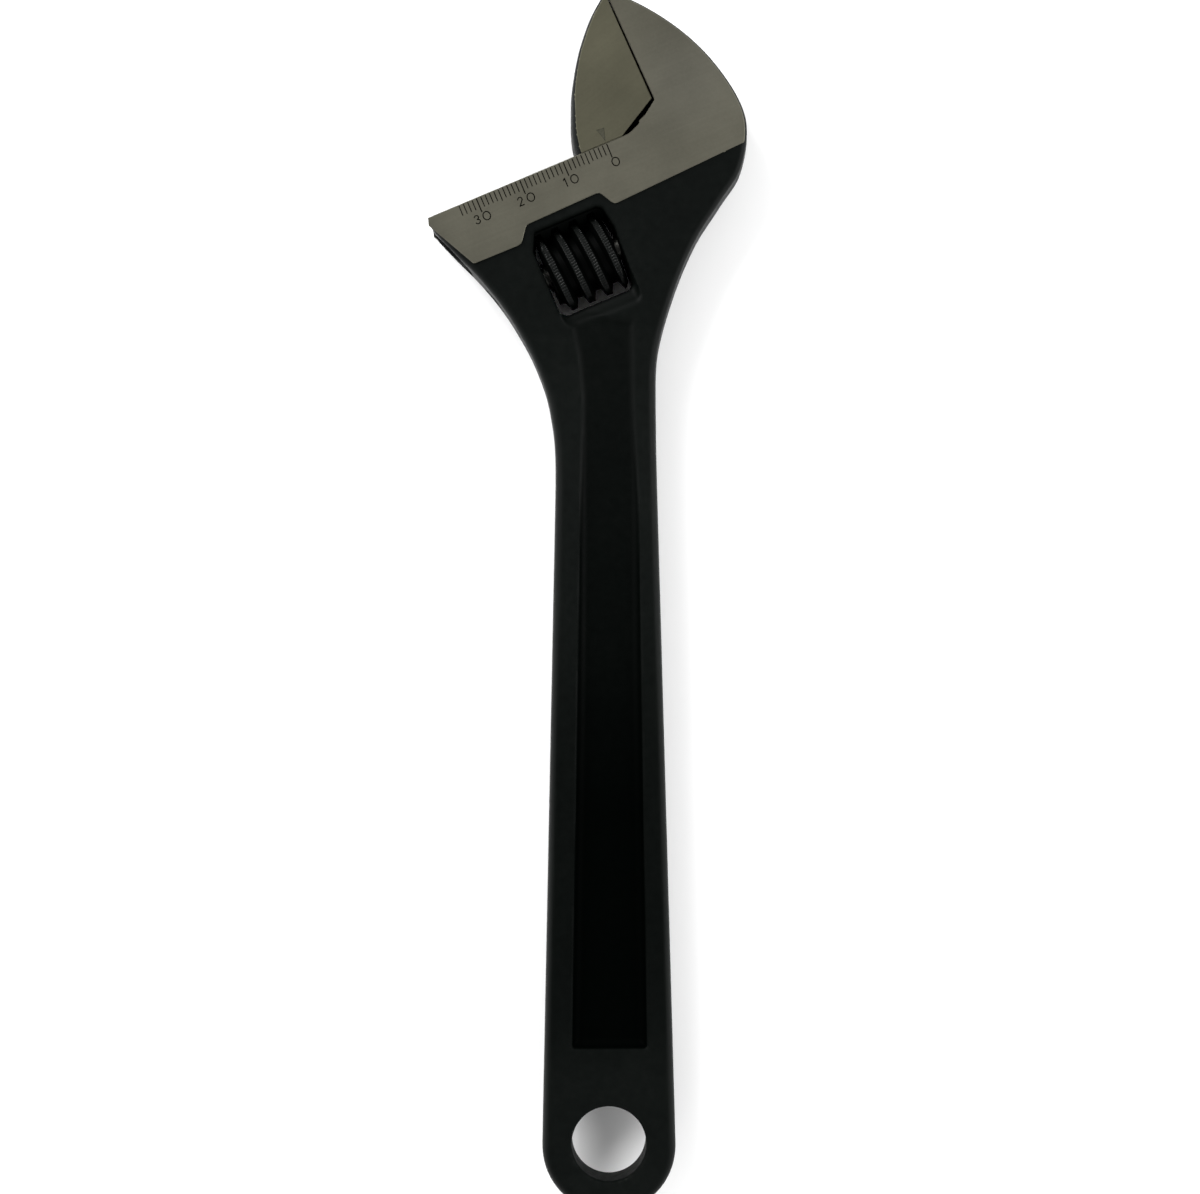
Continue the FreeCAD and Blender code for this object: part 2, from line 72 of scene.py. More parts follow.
# ------------------------------------------------------------------ curves and distance fields
def cubic(points, n):
    """n evenly spaced points on the natural cubic spline through the given points."""
    p = np.array(points, float)
    t = np.concatenate([[0], np.cumsum(np.hypot(*np.diff(p, axis=0).T))])
    h = np.diff(t)
    m = len(p)
    a = np.zeros((m, m)); b = np.zeros((m, 2))
    a[0, 0] = a[-1, -1] = 1
    for i in range(1, m - 1):
        a[i, i - 1], a[i, i], a[i, i + 1] = h[i - 1], 2 * (h[i - 1] + h[i]), h[i]
        b[i] = 6 * ((p[i + 1] - p[i]) / h[i] - (p[i] - p[i - 1]) / h[i - 1])
    s = np.linalg.solve(a, b)
    tt = np.linspace(0, t[-1], n * 8)
    k = np.clip(np.searchsorted(t, tt, side="right") - 1, 0, m - 2)
    w = (tt - t[k])[:, None]; hk = h[k][:, None]
    q = (p[k] + w * ((p[k + 1] - p[k]) / hk - hk * (2 * s[k] + s[k + 1]) / 6) + w ** 2 * s[k] / 2 + w ** 3 * (s[k + 1] - s[k]) / (6 * hk))
    d = np.concatenate([[0], np.cumsum(np.hypot(*np.diff(q, axis=0).T))])
    e = np.linspace(0, d[-1], n)
    return np.stack([np.interp(e, d, q[:, 0]), np.interp(e, d, q[:, 1])], 1)


def polygon_distance(x, y, poly):
    """Signed distance to a closed polygon, negative inside."""
    p = np.asarray(poly, float)
    a, b = p, np.roll(p, -1, 0)
    e = b - a
    l2 = (e ** 2).sum(1)
    keep = l2 > 1e-12
    a, b, e, l2 = a[keep], b[keep], e[keep], l2[keep]
    shape = np.shape(x)
    x, y = np.ravel(x), np.ravel(y)
    out = np.empty(len(x))
    step = max(1, 4_000_000 // len(a))
    for i in range(0, len(x), step):
        px, py = x[i:i + step, None], y[i:i + step, None]
        wx, wy = px - a[:, 0], py - a[:, 1]
        t = np.clip((wx * e[:, 0] + wy * e[:, 1]) / l2, 0, 1)
        d = ((wx - t * e[:, 0]) ** 2 + (wy - t * e[:, 1]) ** 2).min(1)
        up = (a[:, 1] <= py) != (b[:, 1] <= py)
        side = (wx * e[:, 1] - wy * e[:, 0]) * np.sign(e[:, 1])
        inside = (up & (side < 0)).sum(1) % 2 == 1
        out[i:i + step] = np.where(inside, -1, 1) * np.sqrt(d)
    return out.reshape(shape)


class Plane:
    """A 2-D field tabulated on a grid and read back smoothly."""

    def __init__(self, fn, x0, x1, y0, y1, step, blur=0):
        self.x0, self.y0, self.step = x0, y0, step
        xs = x0 + step * np.arange(int(math.ceil((x1 - x0) / step)) + 1)
        ys = y0 + step * np.arange(int(math.ceil((y1 - y0) / step)) + 1)
        g = fn(*np.meshgrid(xs, ys, indexing="ij"))
        for _ in range(blur):
            p = np.pad(g, 1, mode="edge")
            g = (p[:-2, 1:-1] + 2 * p[1:-1, 1:-1] + p[2:, 1:-1]) / 4
            p = np.pad(g, 1, mode="edge")
            g = (p[1:-1, :-2] + 2 * p[1:-1, 1:-1] + p[1:-1, 2:]) / 4
        self.g = g

    def __call__(self, x, y):
        fx = np.clip((x - self.x0) / self.step, 1, self.g.shape[0] - 3.001)
        fy = np.clip((y - self.y0) / self.step, 1, self.g.shape[1] - 3.001)
        i, j = fx.astype(int), fy.astype(int)
        fx, fy = fx - i, fy - j

        def w(t):
            return (-0.5 * t + t * t - 0.5 * t ** 3, 1 - 2.5 * t * t + 1.5 * t ** 3, 0.5 * t + 2 * t * t - 1.5 * t ** 3, -0.5 * t * t + 0.5 * t ** 3)

        wx, wy = w(fx), w(fy)
        out = 0
        for m in range(4):
            row = 0
            for n in range(4):
                row = row + wy[n] * self.g[i + m - 1, j + n - 1]
            out = out + wx[m] * row
        return out


def rmax(a, b, r):
    """Both a and b, with the edge between them rounded to radius r."""
    return np.minimum(np.maximum(a, b), -r) + np.hypot(np.maximum(a + r, 0), np.maximum(b + r, 0))


def rmin(a, b, r):
    return -rmax(-a, -b, r)


def smooth_step(t):
    t = np.clip(t, 0, 1)
    return t * t * (3 - 2 * t)


def box_uv(u, v, u0, u1, v0, v1, r):
    """Signed distance to a rectangle with rounded corners."""
    qx = np.abs(u - (u0 + u1) / 2) - (u1 - u0) / 2 + r
    qy = np.abs(v - (v0 + v1) / 2) - (v1 - v0) / 2 + r
    return np.hypot(np.maximum(qx, 0), np.maximum(qy, 0)) + np.minimum(np.maximum(qx, qy), 0) - r


# ------------------------------------------------------------------ dual contouring
def contour(field, xs, ys, zs, columns=None):
    """A quad mesh of field = 0 over a grid with its own spacing on each axis, with sharp edges kept.
    field(c, z) takes what columns(x, y) gives."""
    X, Y = np.meshgrid(xs, ys, indexing="ij")
    c = columns(X, Y)
    c3 = {k: (v[..., None] if np.ndim(v) == 2 else v) for k, v in c.items()}
    G = np.empty((len(xs), len(ys), len(zs)), np.float32)
    for k in range(0, len(zs), 6):
        G[:, :, k:k + 6] = field(c3, zs[None, None, k:k + 6])
    G = np.where(np.abs(G) < 1e-6, 1e-6, G)
    axes = (xs, ys, zs)

    def value(P):
        return field(columns(P[:, 0], P[:, 1]), P[:, 2])

    n_cells = (len(xs) - 1, len(ys) - 1, len(zs) - 1)
    edge_sets, all_p, all_n = [], [], []
    for ax in range(3):
        lo = [slice(None)] * 3; hi = [slice(None)] * 3
        lo[ax], hi[ax] = slice(0, -1), slice(1, None)
        g0, g1 = G[tuple(lo)], G[tuple(hi)]
        idx = np.argwhere((g0 < 0) != (g1 < 0))
        ok = np.ones(len(idx), bool)
        for o in range(3):
            if o != ax:
                ok &= (idx[:, o] > 0) & (idx[:, o] < len(axes[o]) - 1)
        idx = idx[ok]
        v0 = g0[tuple(idx.T)].astype(float); v1 = g1[tuple(idx.T)].astype(float)
        P0 = np.stack([axes[o][idx[:, o]] for o in range(3)], 1)
        P1 = P0.copy(); P1[:, ax] = axes[ax][idx[:, ax] + 1]
        ta, tb, fa, fb = np.zeros(len(idx)), np.ones(len(idx)), v0.copy(), v1.copy()
        for it in range(4):
            t = ta + (tb - ta) * (np.clip(fa / (fa - fb + 1e-300), 0.02, 0.98) if it < 3 else fa / (fa - fb + 1e-300))
            P = P0 + (P1 - P0) * t[:, None]
            if it == 3:
                break
            f = value(P)
            same = (f < 0) == (fa < 0)
            ta, fa = np.where(same, t, ta), np.where(same, f, fa)
            tb, fb = np.where(same, tb, t), np.where(same, fb, f)
        h = 0.02
        N = np.empty_like(P)
        for o in range(3):
            d = np.zeros(3); d[o] = h
            N[:, o] = value(P + d) - value(P - d)
        N /= np.maximum(np.linalg.norm(N, axis=1), 1e-9)[:, None]
        edge_sets.append((ax, idx, v0 < 0))
        all_p.append(P); all_n.append(N)

    def cell_id(i, j, k):
        return (i * n_cells[1] + j) * n_cells[2] + k

    quads, ids, ps, ns = [], [], [], []
    for (ax, idx, inside_first), P, N in zip(edge_sets, all_p, all_n):
        o1, o2 = [(1, 2), (2, 0), (0, 1)][ax]
        four = []
        for d1, d2 in ((-1, -1), (0, -1), (0, 0), (-1, 0)):
            q = idx.copy(); q[:, o1] += d1; q[:, o2] += d2
            cid = cell_id(q[:, 0], q[:, 1], q[:, 2])
            four.append(cid); ids.append(cid); ps.append(P); ns.append(N)
        four = np.stack(four, 1)
        four = np.where(inside_first[:, None], four, four[:, ::-1])
        quads.append(four)
    ids, ps, ns = np.concatenate(ids), np.concatenate(ps), np.concatenate(ns)
    uniq, inv = np.unique(ids, return_inverse=True)
    m = len(uniq)
    cnt = np.bincount(inv, minlength=m).astype(float)
    mp = np.stack([np.bincount(inv, ps[:, o], m) for o in range(3)], 1) / cnt[:, None]
    b = (ns * (ps - mp[inv])).sum(1)
    ATA = np.zeros((m, 3, 3)); ATb = np.zeros((m, 3))
    for o in range(3):
        ATb[:, o] = np.bincount(inv, ns[:, o] * b, m)
        for q in range(o, 3):
            ATA[:, o, q] = ATA[:, q, o] = np.bincount(inv, ns[:, o] * ns[:, q], m)
    w, E = np.linalg.eigh(ATA)
    iw = np.where(w > 0.08 * w[:, -1:], 1 / np.maximum(w, 1e-12), 0)
    x = mp + np.einsum("nij,nj,nkj,nk->ni", E, iw, E, ATb)
    ci = uniq // (n_cells[1] * n_cells[2]); cj = uniq // n_cells[2] % n_cells[1]; ck = uniq % n_cells[2]
    for o, cidx in enumerate((ci, cj, ck)):
        lo_, hi_ = axes[o][cidx], axes[o][cidx + 1]
        pad = (hi_ - lo_) * 0.15
        x[:, o] = np.clip(x[:, o], lo_ - pad, hi_ + pad)
    faces = np.searchsorted(uniq, np.concatenate(quads))
    return x, faces


def graded(stops):
    """Grid lines from a list of (position, spacing to the next)."""
    out = [stops[0][0]]
    for (a, s), (b, _) in zip(stops[:-1], stops[1:]):
        n = max(1, int(round((b - a) / s)))
        out += list(a + (b - a) * np.arange(1, n + 1) / n)
    return np.array(out)


def make_mesh(name, verts, faces, body, mats, mat_index=None, smooth=None, replace=None, shade=None):
    me = bpy.data.meshes.new(name)
    me.from_pydata((np.asarray(verts) * MM).tolist(), [], [list(map(int, f)) for f in faces])
    for m in mats:
        me.materials.append(m)
    if mat_index is not None:
        me.polygons.foreach_set("material_index", np.asarray(mat_index, np.int32))
    me.validate()
    me.update()
    if shade is None:
        shade = np.ones(len(verts))
    me.attributes.new("shade", "FLOAT", "POINT").data.foreach_set("value", np.asarray(shade, np.float32))
    if smooth is not None:
        me.polygons.foreach_set("use_smooth", [True] * len(me.polygons))
        me.set_sharp_from_angle(angle=math.radians(smooth))
    o = bpy.data.objects.new(name, me)
    bpy.context.scene.collection.objects.link(o)
    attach(o, body)
    if replace:
        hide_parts(replace)
    return o


# ------------------------------------------------------------------ materials
class Nodes:
    """A short way to write a material's nodes."""

    def __init__(self, name):
        self.mat = bpy.data.materials.new(name)
        self.mat.use_nodes = True
        self.t = self.mat.node_tree
        self.t.nodes.clear()
        self.out = self.t.nodes.new("ShaderNodeOutputMaterial")
        self.bsdf = self.t.nodes.new("ShaderNodeBsdfPrincipled")
        self.t.links.new(self.bsdf.outputs[0], self.out.inputs[0])
        self.pos = self.t.nodes.new("ShaderNodeNewGeometry")

    def link(self, a, b):
        self.t.links.new(a, b)

    def coords(self, scale=(1, 1, 1), rot=(0, 0, 0)):
        """Position in mm in the piece's own space, turned and stretched."""
        tc = self.t.nodes.new("ShaderNodeTexCoord")
        mp = self.t.nodes.new("ShaderNodeMapping")
        mp.vector_type = "TEXTURE"
        mp.inputs["Rotation"].default_value = rot
        mp.inputs["Scale"].default_value = tuple(MM * s for s in scale)
        self.link(tc.outputs["Object"], mp.inputs["Vector"])
        return mp.outputs["Vector"]

    def noise(self, vec, scale, detail=4, rough=0.55, distortion=0.0):
        n = self.t.nodes.new("ShaderNodeTexNoise")
        n.inputs["Scale"].default_value = scale
        n.inputs["Detail"].default_value = detail
        n.inputs["Roughness"].default_value = rough
        n.inputs["Distortion"].default_value = distortion
        self.link(vec, n.inputs["Vector"])
        return n.outputs["Fac"]

    def ramp(self, fac, stops):
        r = self.t.nodes.new("ShaderNodeValToRGB")
        while len(r.color_ramp.elements) > 1:
            r.color_ramp.elements.remove(r.color_ramp.elements[0])
        for i, (p, c) in enumerate(stops):
            e = r.color_ramp.elements[0] if i == 0 else r.color_ramp.elements.new(p)
            e.position = p
            e.color = (*c, 1) if len(c) == 3 else c
        self.link(fac, r.inputs["Fac"])
        return r.outputs["Color"]

    def range(self, fac, a, b, c, d):
        m = self.t.nodes.new("ShaderNodeMapRange")
        for k, v in zip(("From Min", "From Max", "To Min", "To Max"), (a, b, c, d)):
            m.inputs[k].default_value = v
        self.link(fac, m.inputs["Value"])
        return m.outputs["Result"]

    def math(self, op, a, b=None):
        m = self.t.nodes.new("ShaderNodeMath")
        m.operation = op
        for i, v in enumerate((a, b)):
            if v is None:
                continue
            if isinstance(v, (int, float)):
                m.inputs[i].default_value = v
            else:
                self.link(v, m.inputs[i])
        return m.outputs[0]

    def mix(self, fac, a, b):
        m = self.t.nodes.new("ShaderNodeMix")
        m.data_type = "RGBA"
        for s, v in ((m.inputs["Factor"], fac), (m.inputs["A"], a), (m.inputs["B"], b)):
            if isinstance(v, (int, float)):
                s.default_value = v
            elif isinstance(v, tuple):
                s.default_value = (*v, 1)
            else:
                self.link(v, s)
        # colour sockets come after the float and vector ones
        ins = [i for i in m.inputs if i.type == "RGBA"]
        for s, v in zip(ins, (a, b)):
            if isinstance(v, tuple):
                s.default_value = (*v, 1)
            else:
                self.link(v, s)
        return [o for o in m.outputs if o.type == "RGBA"][0]

    def bump(self, height, strength, distance_mm, normal=None):
        b = self.t.nodes.new("ShaderNodeBump")
        b.inputs["Strength"].default_value = strength
        b.inputs["Distance"].default_value = distance_mm * MM
        self.link(height, b.inputs["Height"])
        if normal is not None:
            self.link(normal, b.inputs["Normal"])
        return b.outputs["Normal"]


def black_phosphate(name, tone=1.0, rough=0.5, spec=0.055, shade=True):
    """Thin matt black finish. The point attribute "shade" carries painted light and shade: below 1 it darkens both the
    colour and the sheen, above 1 it brightens the sheen.
    """
    n = Nodes(name)
    c = n.coords()
    big = n.noise(c, 0.06, 3)
    mid = n.noise(c, 0.55, 5, 0.6)
    fine = n.noise(c, 5.0, 3, 0.6)
    m = n.math("ADD", n.math("MULTIPLY", big, 0.45), n.math("ADD", n.math("MULTIPLY", mid, 0.35), n.math("MULTIPLY", fine, 0.2)))
    col = n.ramp(m, [(0.32, (0.0012 * tone, 0.0017 * tone, 0.0015 * tone)), (0.52, (0.0018 * tone, 0.0026 * tone, 0.0022 * tone)), (0.72, (0.0030 * tone, 0.0038 * tone, 0.0033 * tone))])
    # painted light and shade: the "shade" attribute scales the colour and the sheen
    if shade:
        at = n.t.nodes.new("ShaderNodeAttribute")
        at.attribute_name = "shade"
        sh = at.outputs["Fac"]
        col = n.mix(sh, (0.0001, 0.0003, 0.0002), col)
        n.link(n.math("MULTIPLY", sh, spec), n.bsdf.inputs["Specular IOR Level"])
    else:
        n.bsdf.inputs["Specular IOR Level"].default_value = spec
    n.link(col, n.bsdf.inputs["Base Color"])
    n.link(n.range(mid, 0.25, 0.75, rough - 0.07, rough + 0.09), n.bsdf.inputs["Roughness"])
    h = n.bump(n.noise(c, 0.35, 3), 0.25, 0.12)
    n.link(n.bump(fine, 0.35, 0.03, h), n.bsdf.inputs["Normal"])
    return n.mat


def ground_steel(name, tint=(0.30, 0.295, 0.26), rough=0.36, turn=0.0, stretch=60.0, grain=0.10, cheek=False):
    """Surface-ground steel: fine parallel lines along one direction. On the cheek, painted light makes it darker at the
    left end and towards the jaw tip, and a painted highlight lies beside the throat.
    """
    n = Nodes(name)
    lines = n.coords(scale=(stretch, 1, 1), rot=(0, 0, turn))
    plain = n.coords()
    l1 = n.noise(lines, 5.0, 3, 0.7)
    l2 = n.noise(lines, 1.3, 3, 0.6)
    cloud = n.noise(plain, 0.05, 4, 0.5)
    spot = n.noise(plain, 1.6, 4, 0.65)
    m = n.math("ADD", n.math("MULTIPLY", cloud, 0.6), n.math("ADD", n.math("MULTIPLY", l2, 0.18), n.math("MULTIPLY", spot, 0.22)))

    def tone(k, grey=0.0):
        c0 = tuple(k * (t * (1 - grey) + grey * sum(tint) / 3) for t in tint)
        return n.ramp(m, [(0.34, tuple(t * 0.86 for t in c0)), (0.52, c0), (0.70, tuple(min(1, t * 1.14) for t in c0))])

    if cheek:
        sep = n.t.nodes.new("ShaderNodeSeparateXYZ")
        n.link(plain, sep.inputs[0])
        # painted light: darker towards the left end and towards the jaw tip
        k = n.math("MULTIPLY", n.range(sep.outputs["X"], -38.0, 30.0, 0.0, 1.0), n.range(sep.outputs["Y"], 226.0, 247.0, 1.0, 0.0))
        dist = n.t.nodes.new("ShaderNodeVectorMath")
        dist.operation = "DISTANCE"
        n.link(plain, dist.inputs[0])
        dist.inputs[1].default_value = (17.5, 227.5, 8.0)
        # painted highlight: a bright, greyer spot beside the throat
        near = n.range(dist.outputs["Value"], 3.0, 14.0, 0.30, 0.0)
        col = n.mix(near, n.mix(k, tone(0.88), tone(1.16)), tone(1.25, 0.35))
        n.link(col, n.bsdf.inputs["Base Color"])
    else:
        n.link(tone(1.0), n.bsdf.inputs["Base Color"])
    n.bsdf.inputs["Metallic"].default_value = 1.0
    n.link(n.range(n.math("ADD", n.math("MULTIPLY", l1, 0.35), n.math("MULTIPLY", cloud, 0.65)), 0.3, 0.7, rough - 0.04, rough + 0.06), n.bsdf.inputs["Roughness"])
    n.link(n.bump(l1, grain, 0.010), n.bsdf.inputs["Normal"])
    return n.mat


def mark_fill(name, dark=(0.016, 0.016, 0.010), light=(0.030, 0.029, 0.019)):
    n = Nodes(name)
    c = n.coords()
    f = n.noise(c, 3.0, 3)
    n.link(n.ramp(f, [(0.3, dark), (0.7, light)]), n.bsdf.inputs["Base Color"])
    n.bsdf.inputs["Roughness"].default_value = 0.7
    n.bsdf.inputs["Specular IOR Level"].default_value = 0.15
    n.link(n.bump(f, 0.2, 0.02), n.bsdf.inputs["Normal"])
    return n.mat


M_BLACK = black_phosphate("black_phosphate")
M_GROUND = ground_steel("ground_cheek", (0.110, 0.106, 0.083), 0.40, JAW_ANGLE, cheek=True)
M_JAW_GROUND = ground_steel("ground_jaw", (0.0865, 0.083, 0.058), 0.42, JAW_ANGLE + 0.3)
M_MILLED = ground_steel("milled_face", (0.095, 0.093, 0.078), 0.36, JAW_ANGLE, 25.0, 0.15)
M_MARK = mark_fill("mark_fill")
M_POINTER = mark_fill("pointer_fill", (0.026, 0.026, 0.016), (0.040, 0.039, 0.027))
M_WORM = black_phosphate("worm_black_oxide", 0.25, 0.45, 0.02, False)
M_WORM_CREST = black_phosphate("worm_crest_rubbed", 0.8, 0.30, 0.14, False)
M_PIN = ground_steel("pin_steel", (0.06, 0.06, 0.055), 0.38, 0.0, 3.0)
M_SPRING = ground_steel("spring_wire", (0.10, 0.10, 0.093), 0.33, 0.0, 4.0)

# ------------------------------------------------------------------ outline of the forging
END_R, END_Y, NECK_Y, NECK_X, NECK_X_LEFT = 14.4, -0.7, 138.0, 11.15, 10.95


def tangent_angle(neck_x):
    reach = math.hypot(neck_x, NECK_Y - END_Y)
    return math.asin(END_R / reach) - math.atan2(neck_x, NECK_Y - END_Y)


angle_right, angle_left = tangent_angle(NECK_X), tangent_angle(NECK_X_LEFT)
tip = to_xy(13.4, 30.9)
right_curve = [
    tip, (3.34, 245.89), (6.54, 244.34), (13.77, 240.15), (19.3, 235.78), (23.41, 231.48), (26.6, 227.23),
    (29.15, 222.85), (30.59, 218.4), (30.65, 214.17), (30.04, 210.58), (28.75, 206.77), (26.16, 202.92), (23.24, 198.58),
    (20.41, 194.29), (18.22, 190.04), (16.34, 185.71), (14.76, 181.44), (13.36, 177.15), (12.13, 172.76), (11.23, 168.18),
    (10.92, 163.9), (10.88, 159.6), (10.92, 151.0), (NECK_X, NECK_Y),
]
left_curve = [
    (-NECK_X_LEFT, NECK_Y), (-10.9, 146.7), (-11.14, 151.0), (-11.75, 155.3), (-12.65, 159.7), (-14.1, 164.0),
    (-15.9, 168.3), (-18.32, 172.83), (-21.02, 177.22), (-24.26, 181.57), (-28.07, 185.95), (-32.42, 190.29), (-36.35, 194.47),
]
right_pts = cubic(right_curve, 260)
turn = -math.pi - angle_right - angle_left
arc_pts = np.array([(END_R * math.cos(a), END_Y + END_R * math.sin(a)) for a in [angle_right + turn * i / 96 for i in range(97)]])
left_pts = cubic(left_curve, 110)
outline = np.concatenate([right_pts, arc_pts, left_pts, [(-37.45, 196.6), to_xy(-41.25, 2.0), to_xy(10.6, 2.0), to_xy(10.6, 31.2)]])
D2 = Plane(lambda x, y: polygon_distance(x, y, outline) + 0.045, -42, 34, -18, 252, 0.4, blur=1)

panel = [(-7.9, 20.4), (8.35, 20.4), (6.95, 137.0), (6.2, 158.0), (6.0, 176.0), (-8.0, 178.5), (-5.9, 168.5), (-5.1, 160.0), (-5.25, 148.0)]
P2 = Plane(lambda x, y: polygon_distance(x, y, panel), -42, 34, -18, 252, 0.4, blur=1)

half_y = cubic([(-20, 4.4), (0, 4.4), (13, 4.4), (30, 4.55), (60, 4.85), (120, 5.35), (146, 5.6), (160, 6.1), (172, 6.9), (180, 7.35), (188, 7.5), (220, 7.5), (260, 7.5)], 900)
floor_y = cubic([(10, 2.25), (22, 2.3), (60, 2.6), (100, 3.1), (130, 4.0), (150, 5.0), (165, 5.9), (176, 6.7), (182, 7.3), (190, 8.0)], 700)

STEM_V, BORE_R, BORE_END, CHANNEL_HALF, CHANNEL_END = -7.8, 6.28, 24.6, 3.47, 4.1
WORM_V, WORM_R, WORM_ROOT_R, WORM_U0, WORM_U1, WORM_PITCH, WORM_CREST, WORM_CREST_U = -20.6, 8.5, 6.5, -22.1, -6.9, 4.1, 1.3, -12.45
GRIP_U, TIP_V, THROAT_V = 12.4, 30.2, 5.05

# Border of the ground cheek, from the left end of the head to the fixed jaw's back.
border = [(-41.75, -1.6), (-36.15, -12.6), (-35.7, -12.75), (-25.9, -12.85), (-25.2, -12.7), (-24.6, -12.2), (-22.9, -9.95), (-22.5, -9.6), (-21.9, -9.45),
          (-6.3, -9.05), (-5.7, -9.2), (-5.25, -9.7), (-4.05, -11.9), (-3.6, -12.4), (-3.0, -12.6)]
border_end = (30.0, -11.0)
zone_uv = np.array([(-60, 5), (-60, -1.6)] + border + [(60, -10.6), (60, 60), (-60, 60)], float)


def body_columns(x, y):
    u, v = to_uv(x, y)
    return {
        "u": u, "v": v, "x": x, "y": y,
        "d": D2(x, y), "p": P2(x, y),
        "h": np.interp(y, half_y[:, 0], half_y[:, 1]),
        "zf": np.interp(y, floor_y[:, 0], floor_y[:, 1]),
        "r": 1.7 - 0.6 * smooth_step((y - 165) / 25),
        "mouth": mouth_distance(u, v),
        "zone": ZONE(u, v),
        "win": WIN(u, v),
    }


mouth_uv = [(-60, 0), (3.6, 0), (5.03, 0.05), (6.02, 0.35), (7.06, 0.78), (7.92, 1.25), (8.05, 1.68), (9.78, 2.4), (12.72, 4.42), (12.86, 4.75), (12.13, 30.2), (12.13, 60), (-60, 60)]


def mouth_distance(u, v):
    """Negative where the jaw mouth has been machined away."""
    return polygon_distance(u, v, mouth_uv)


ZONE = Plane(lambda u, v: polygon_distance(u, v, zone_uv), -48, 36, -30, 12, 0.25)
win_uv = [(-21.6, -11.6), (-23.4, -15.2), (-23.1, -29.2), (-22.0, -30.3), (-7.6, -30.3), (-6.4, -29.4), (-5.5, -17.0), (-6.3, -12.4), (-7.4, -11.6)]
WIN = Plane(lambda u, v: polygon_distance(u, v, win_uv), -48, 36, -60, 12, 0.25, blur=2)


def body_field(c, z):
    az = np.abs(z)
    u, v = c["u"], c["v"]
    side = c["d"] + 0.06 * np.maximum(az - 1.1, 0)
    f = rmax(side, az - c["h"], c["r"])
    # recessed panel of the handle
    q = rmax(c["p"] - 0.40 * (az - c["h"]), c["zf"] - az, 1.2)
    f = rmax(f, -q, 0.45)
    # thumb relief at the window
    g = np.hypot(v + 26.9, az - 13.5) - 9.0
    g = rmax(g, np.abs(u + 14.4) - 8.6, 1.5)
    f = rmax(f, -g, 0.6)
    # ground cheeks
    cheek = np.maximum(np.maximum(c["zone"] + 0.3, c["d"] + 1.1), az - 7.86)
    f = np.minimum(f, cheek)
    # machined mouth and blunt tip
    f = np.maximum(f, -c["mouth"])
    f = np.maximum(f, (v - TIP_V) + 0.088 * (u - 5.0) + 0.03)
    # stem bore and neck channel
    f = rmax(f, np.minimum(BORE_R - np.hypot(v - STEM_V, z), BORE_END - u), 0.25)
    chan = np.maximum(np.maximum(az - CHANNEL_HALF, u - CHANNEL_END), STEM_V - v)
    f = rmax(f, -chan, 0.25)
    # worm window
    f = rmax(f, -c["win"], 0.55)
    # pin hole in the left and the right wall
    r = np.hypot(v - WORM_V, z)
    hole = np.maximum(np.where(u < -28.6, r - 2.92, r - 2.45), u + 1.2)
    f = np.maximum(f, -hole)
    # hang hole
    f = rmax(f, 8.0 - np.hypot(c["x"], c["y"]), 0.7)
    return f


import time
T0 = time.time()
bx = graded([(-39.5, 0.5), (32.0, 0)])
by = graded([(-16.0, 0.5), (28.0, 1.2), (146.0, 0.7), (158.0, 0.5), (248.0, 0)])
bz = graded([(-8.5, 0.5), (8.5, 0)])
bv, bf = contour(body_field, bx, by, bz, body_columns)
print("body mesh", len(bv), len(bf), round(time.time() - T0, 1), "s", flush=True)


def face_facts(v, f):
    c = v[f].mean(1)
    n = np.cross(v[f[:, 2]] - v[f[:, 0]], v[f[:, 3]] - v[f[:, 1]])
    return c, n / np.maximum(np.linalg.norm(n, axis=1), 1e-9)[:, None]


c, n = face_facts(bv, bf)
cu, cv = to_uv(c[:, 0], c[:, 1])
nu, nv = n[:, 0] * CA + n[:, 1] * SA, -n[:, 0] * SA + n[:, 1] * CA
md = mouth_distance(cu, cv)
milled = (np.abs(md) < 0.12) & (np.abs(n[:, 2]) < 0.5) & (cv > 5.6) | ((cv > -0.6) & (np.abs(n[:, 2]) < 0.3) & (cu < 3.6) & (cv < 5.3) & (nv > 0.3))
milled |= (np.abs((cv - TIP_V) + 0.088 * (cu - 5.0) + 0.03) < 0.1) & (nv > 0.9)
ground = (np.abs(c[:, 2]) > 7.8)
idx = np.where(ground, 1, np.where(milled, 2, 0))
vu, vv = to_uv(bv[:, 0], bv[:, 1])
# painted light and shade along the length: the black is darkest over the middle of the handle and a little darker over
# the head
along = np.interp(bv[:, 1], [-15, 14, 24, 45, 85, 115, 140, 160, 180, 260], [0.95, 0.82, 0.62, 0.52, 0.58, 0.85, 1.0, 0.98, 0.76, 0.76])
# painted shade in the recessed panel: its floor darkens the deeper it lies below the flanges and is darkest towards the
# handle's end
painted_panel_shade = np.interp(bv[:, 1], [18, 72, 88, 110, 140, 160, 178, 190], [0.08, 0.09, 0.17, 0.34, 0.45, 0.52, 0.58, 0.7])
depth = smooth_step((np.interp(bv[:, 1], half_y[:, 0], half_y[:, 1]) - np.abs(bv[:, 2])) / 0.5)
in_panel = smooth_step((0.75 - P2(bv[:, 0], bv[:, 1])) / 0.9) * depth
tone = along * (1 - in_panel) + painted_panel_shade * in_panel
# painted highlight on the rounded edges of the outline, brighter on the left side than on the right
painted_rim_light = smooth_step((D2(bv[:, 0], bv[:, 1]) + 1.5) / 1.1)
tone = tone * (1 - painted_rim_light) + np.where(bv[:, 0] < 0, 2.5, 1.75) * painted_rim_light
# painted shade inside the worm window
in_window = smooth_step((0.75 - WIN(vu, vv)) / 0.9)
tone = tone * (1 - 0.85 * in_window)
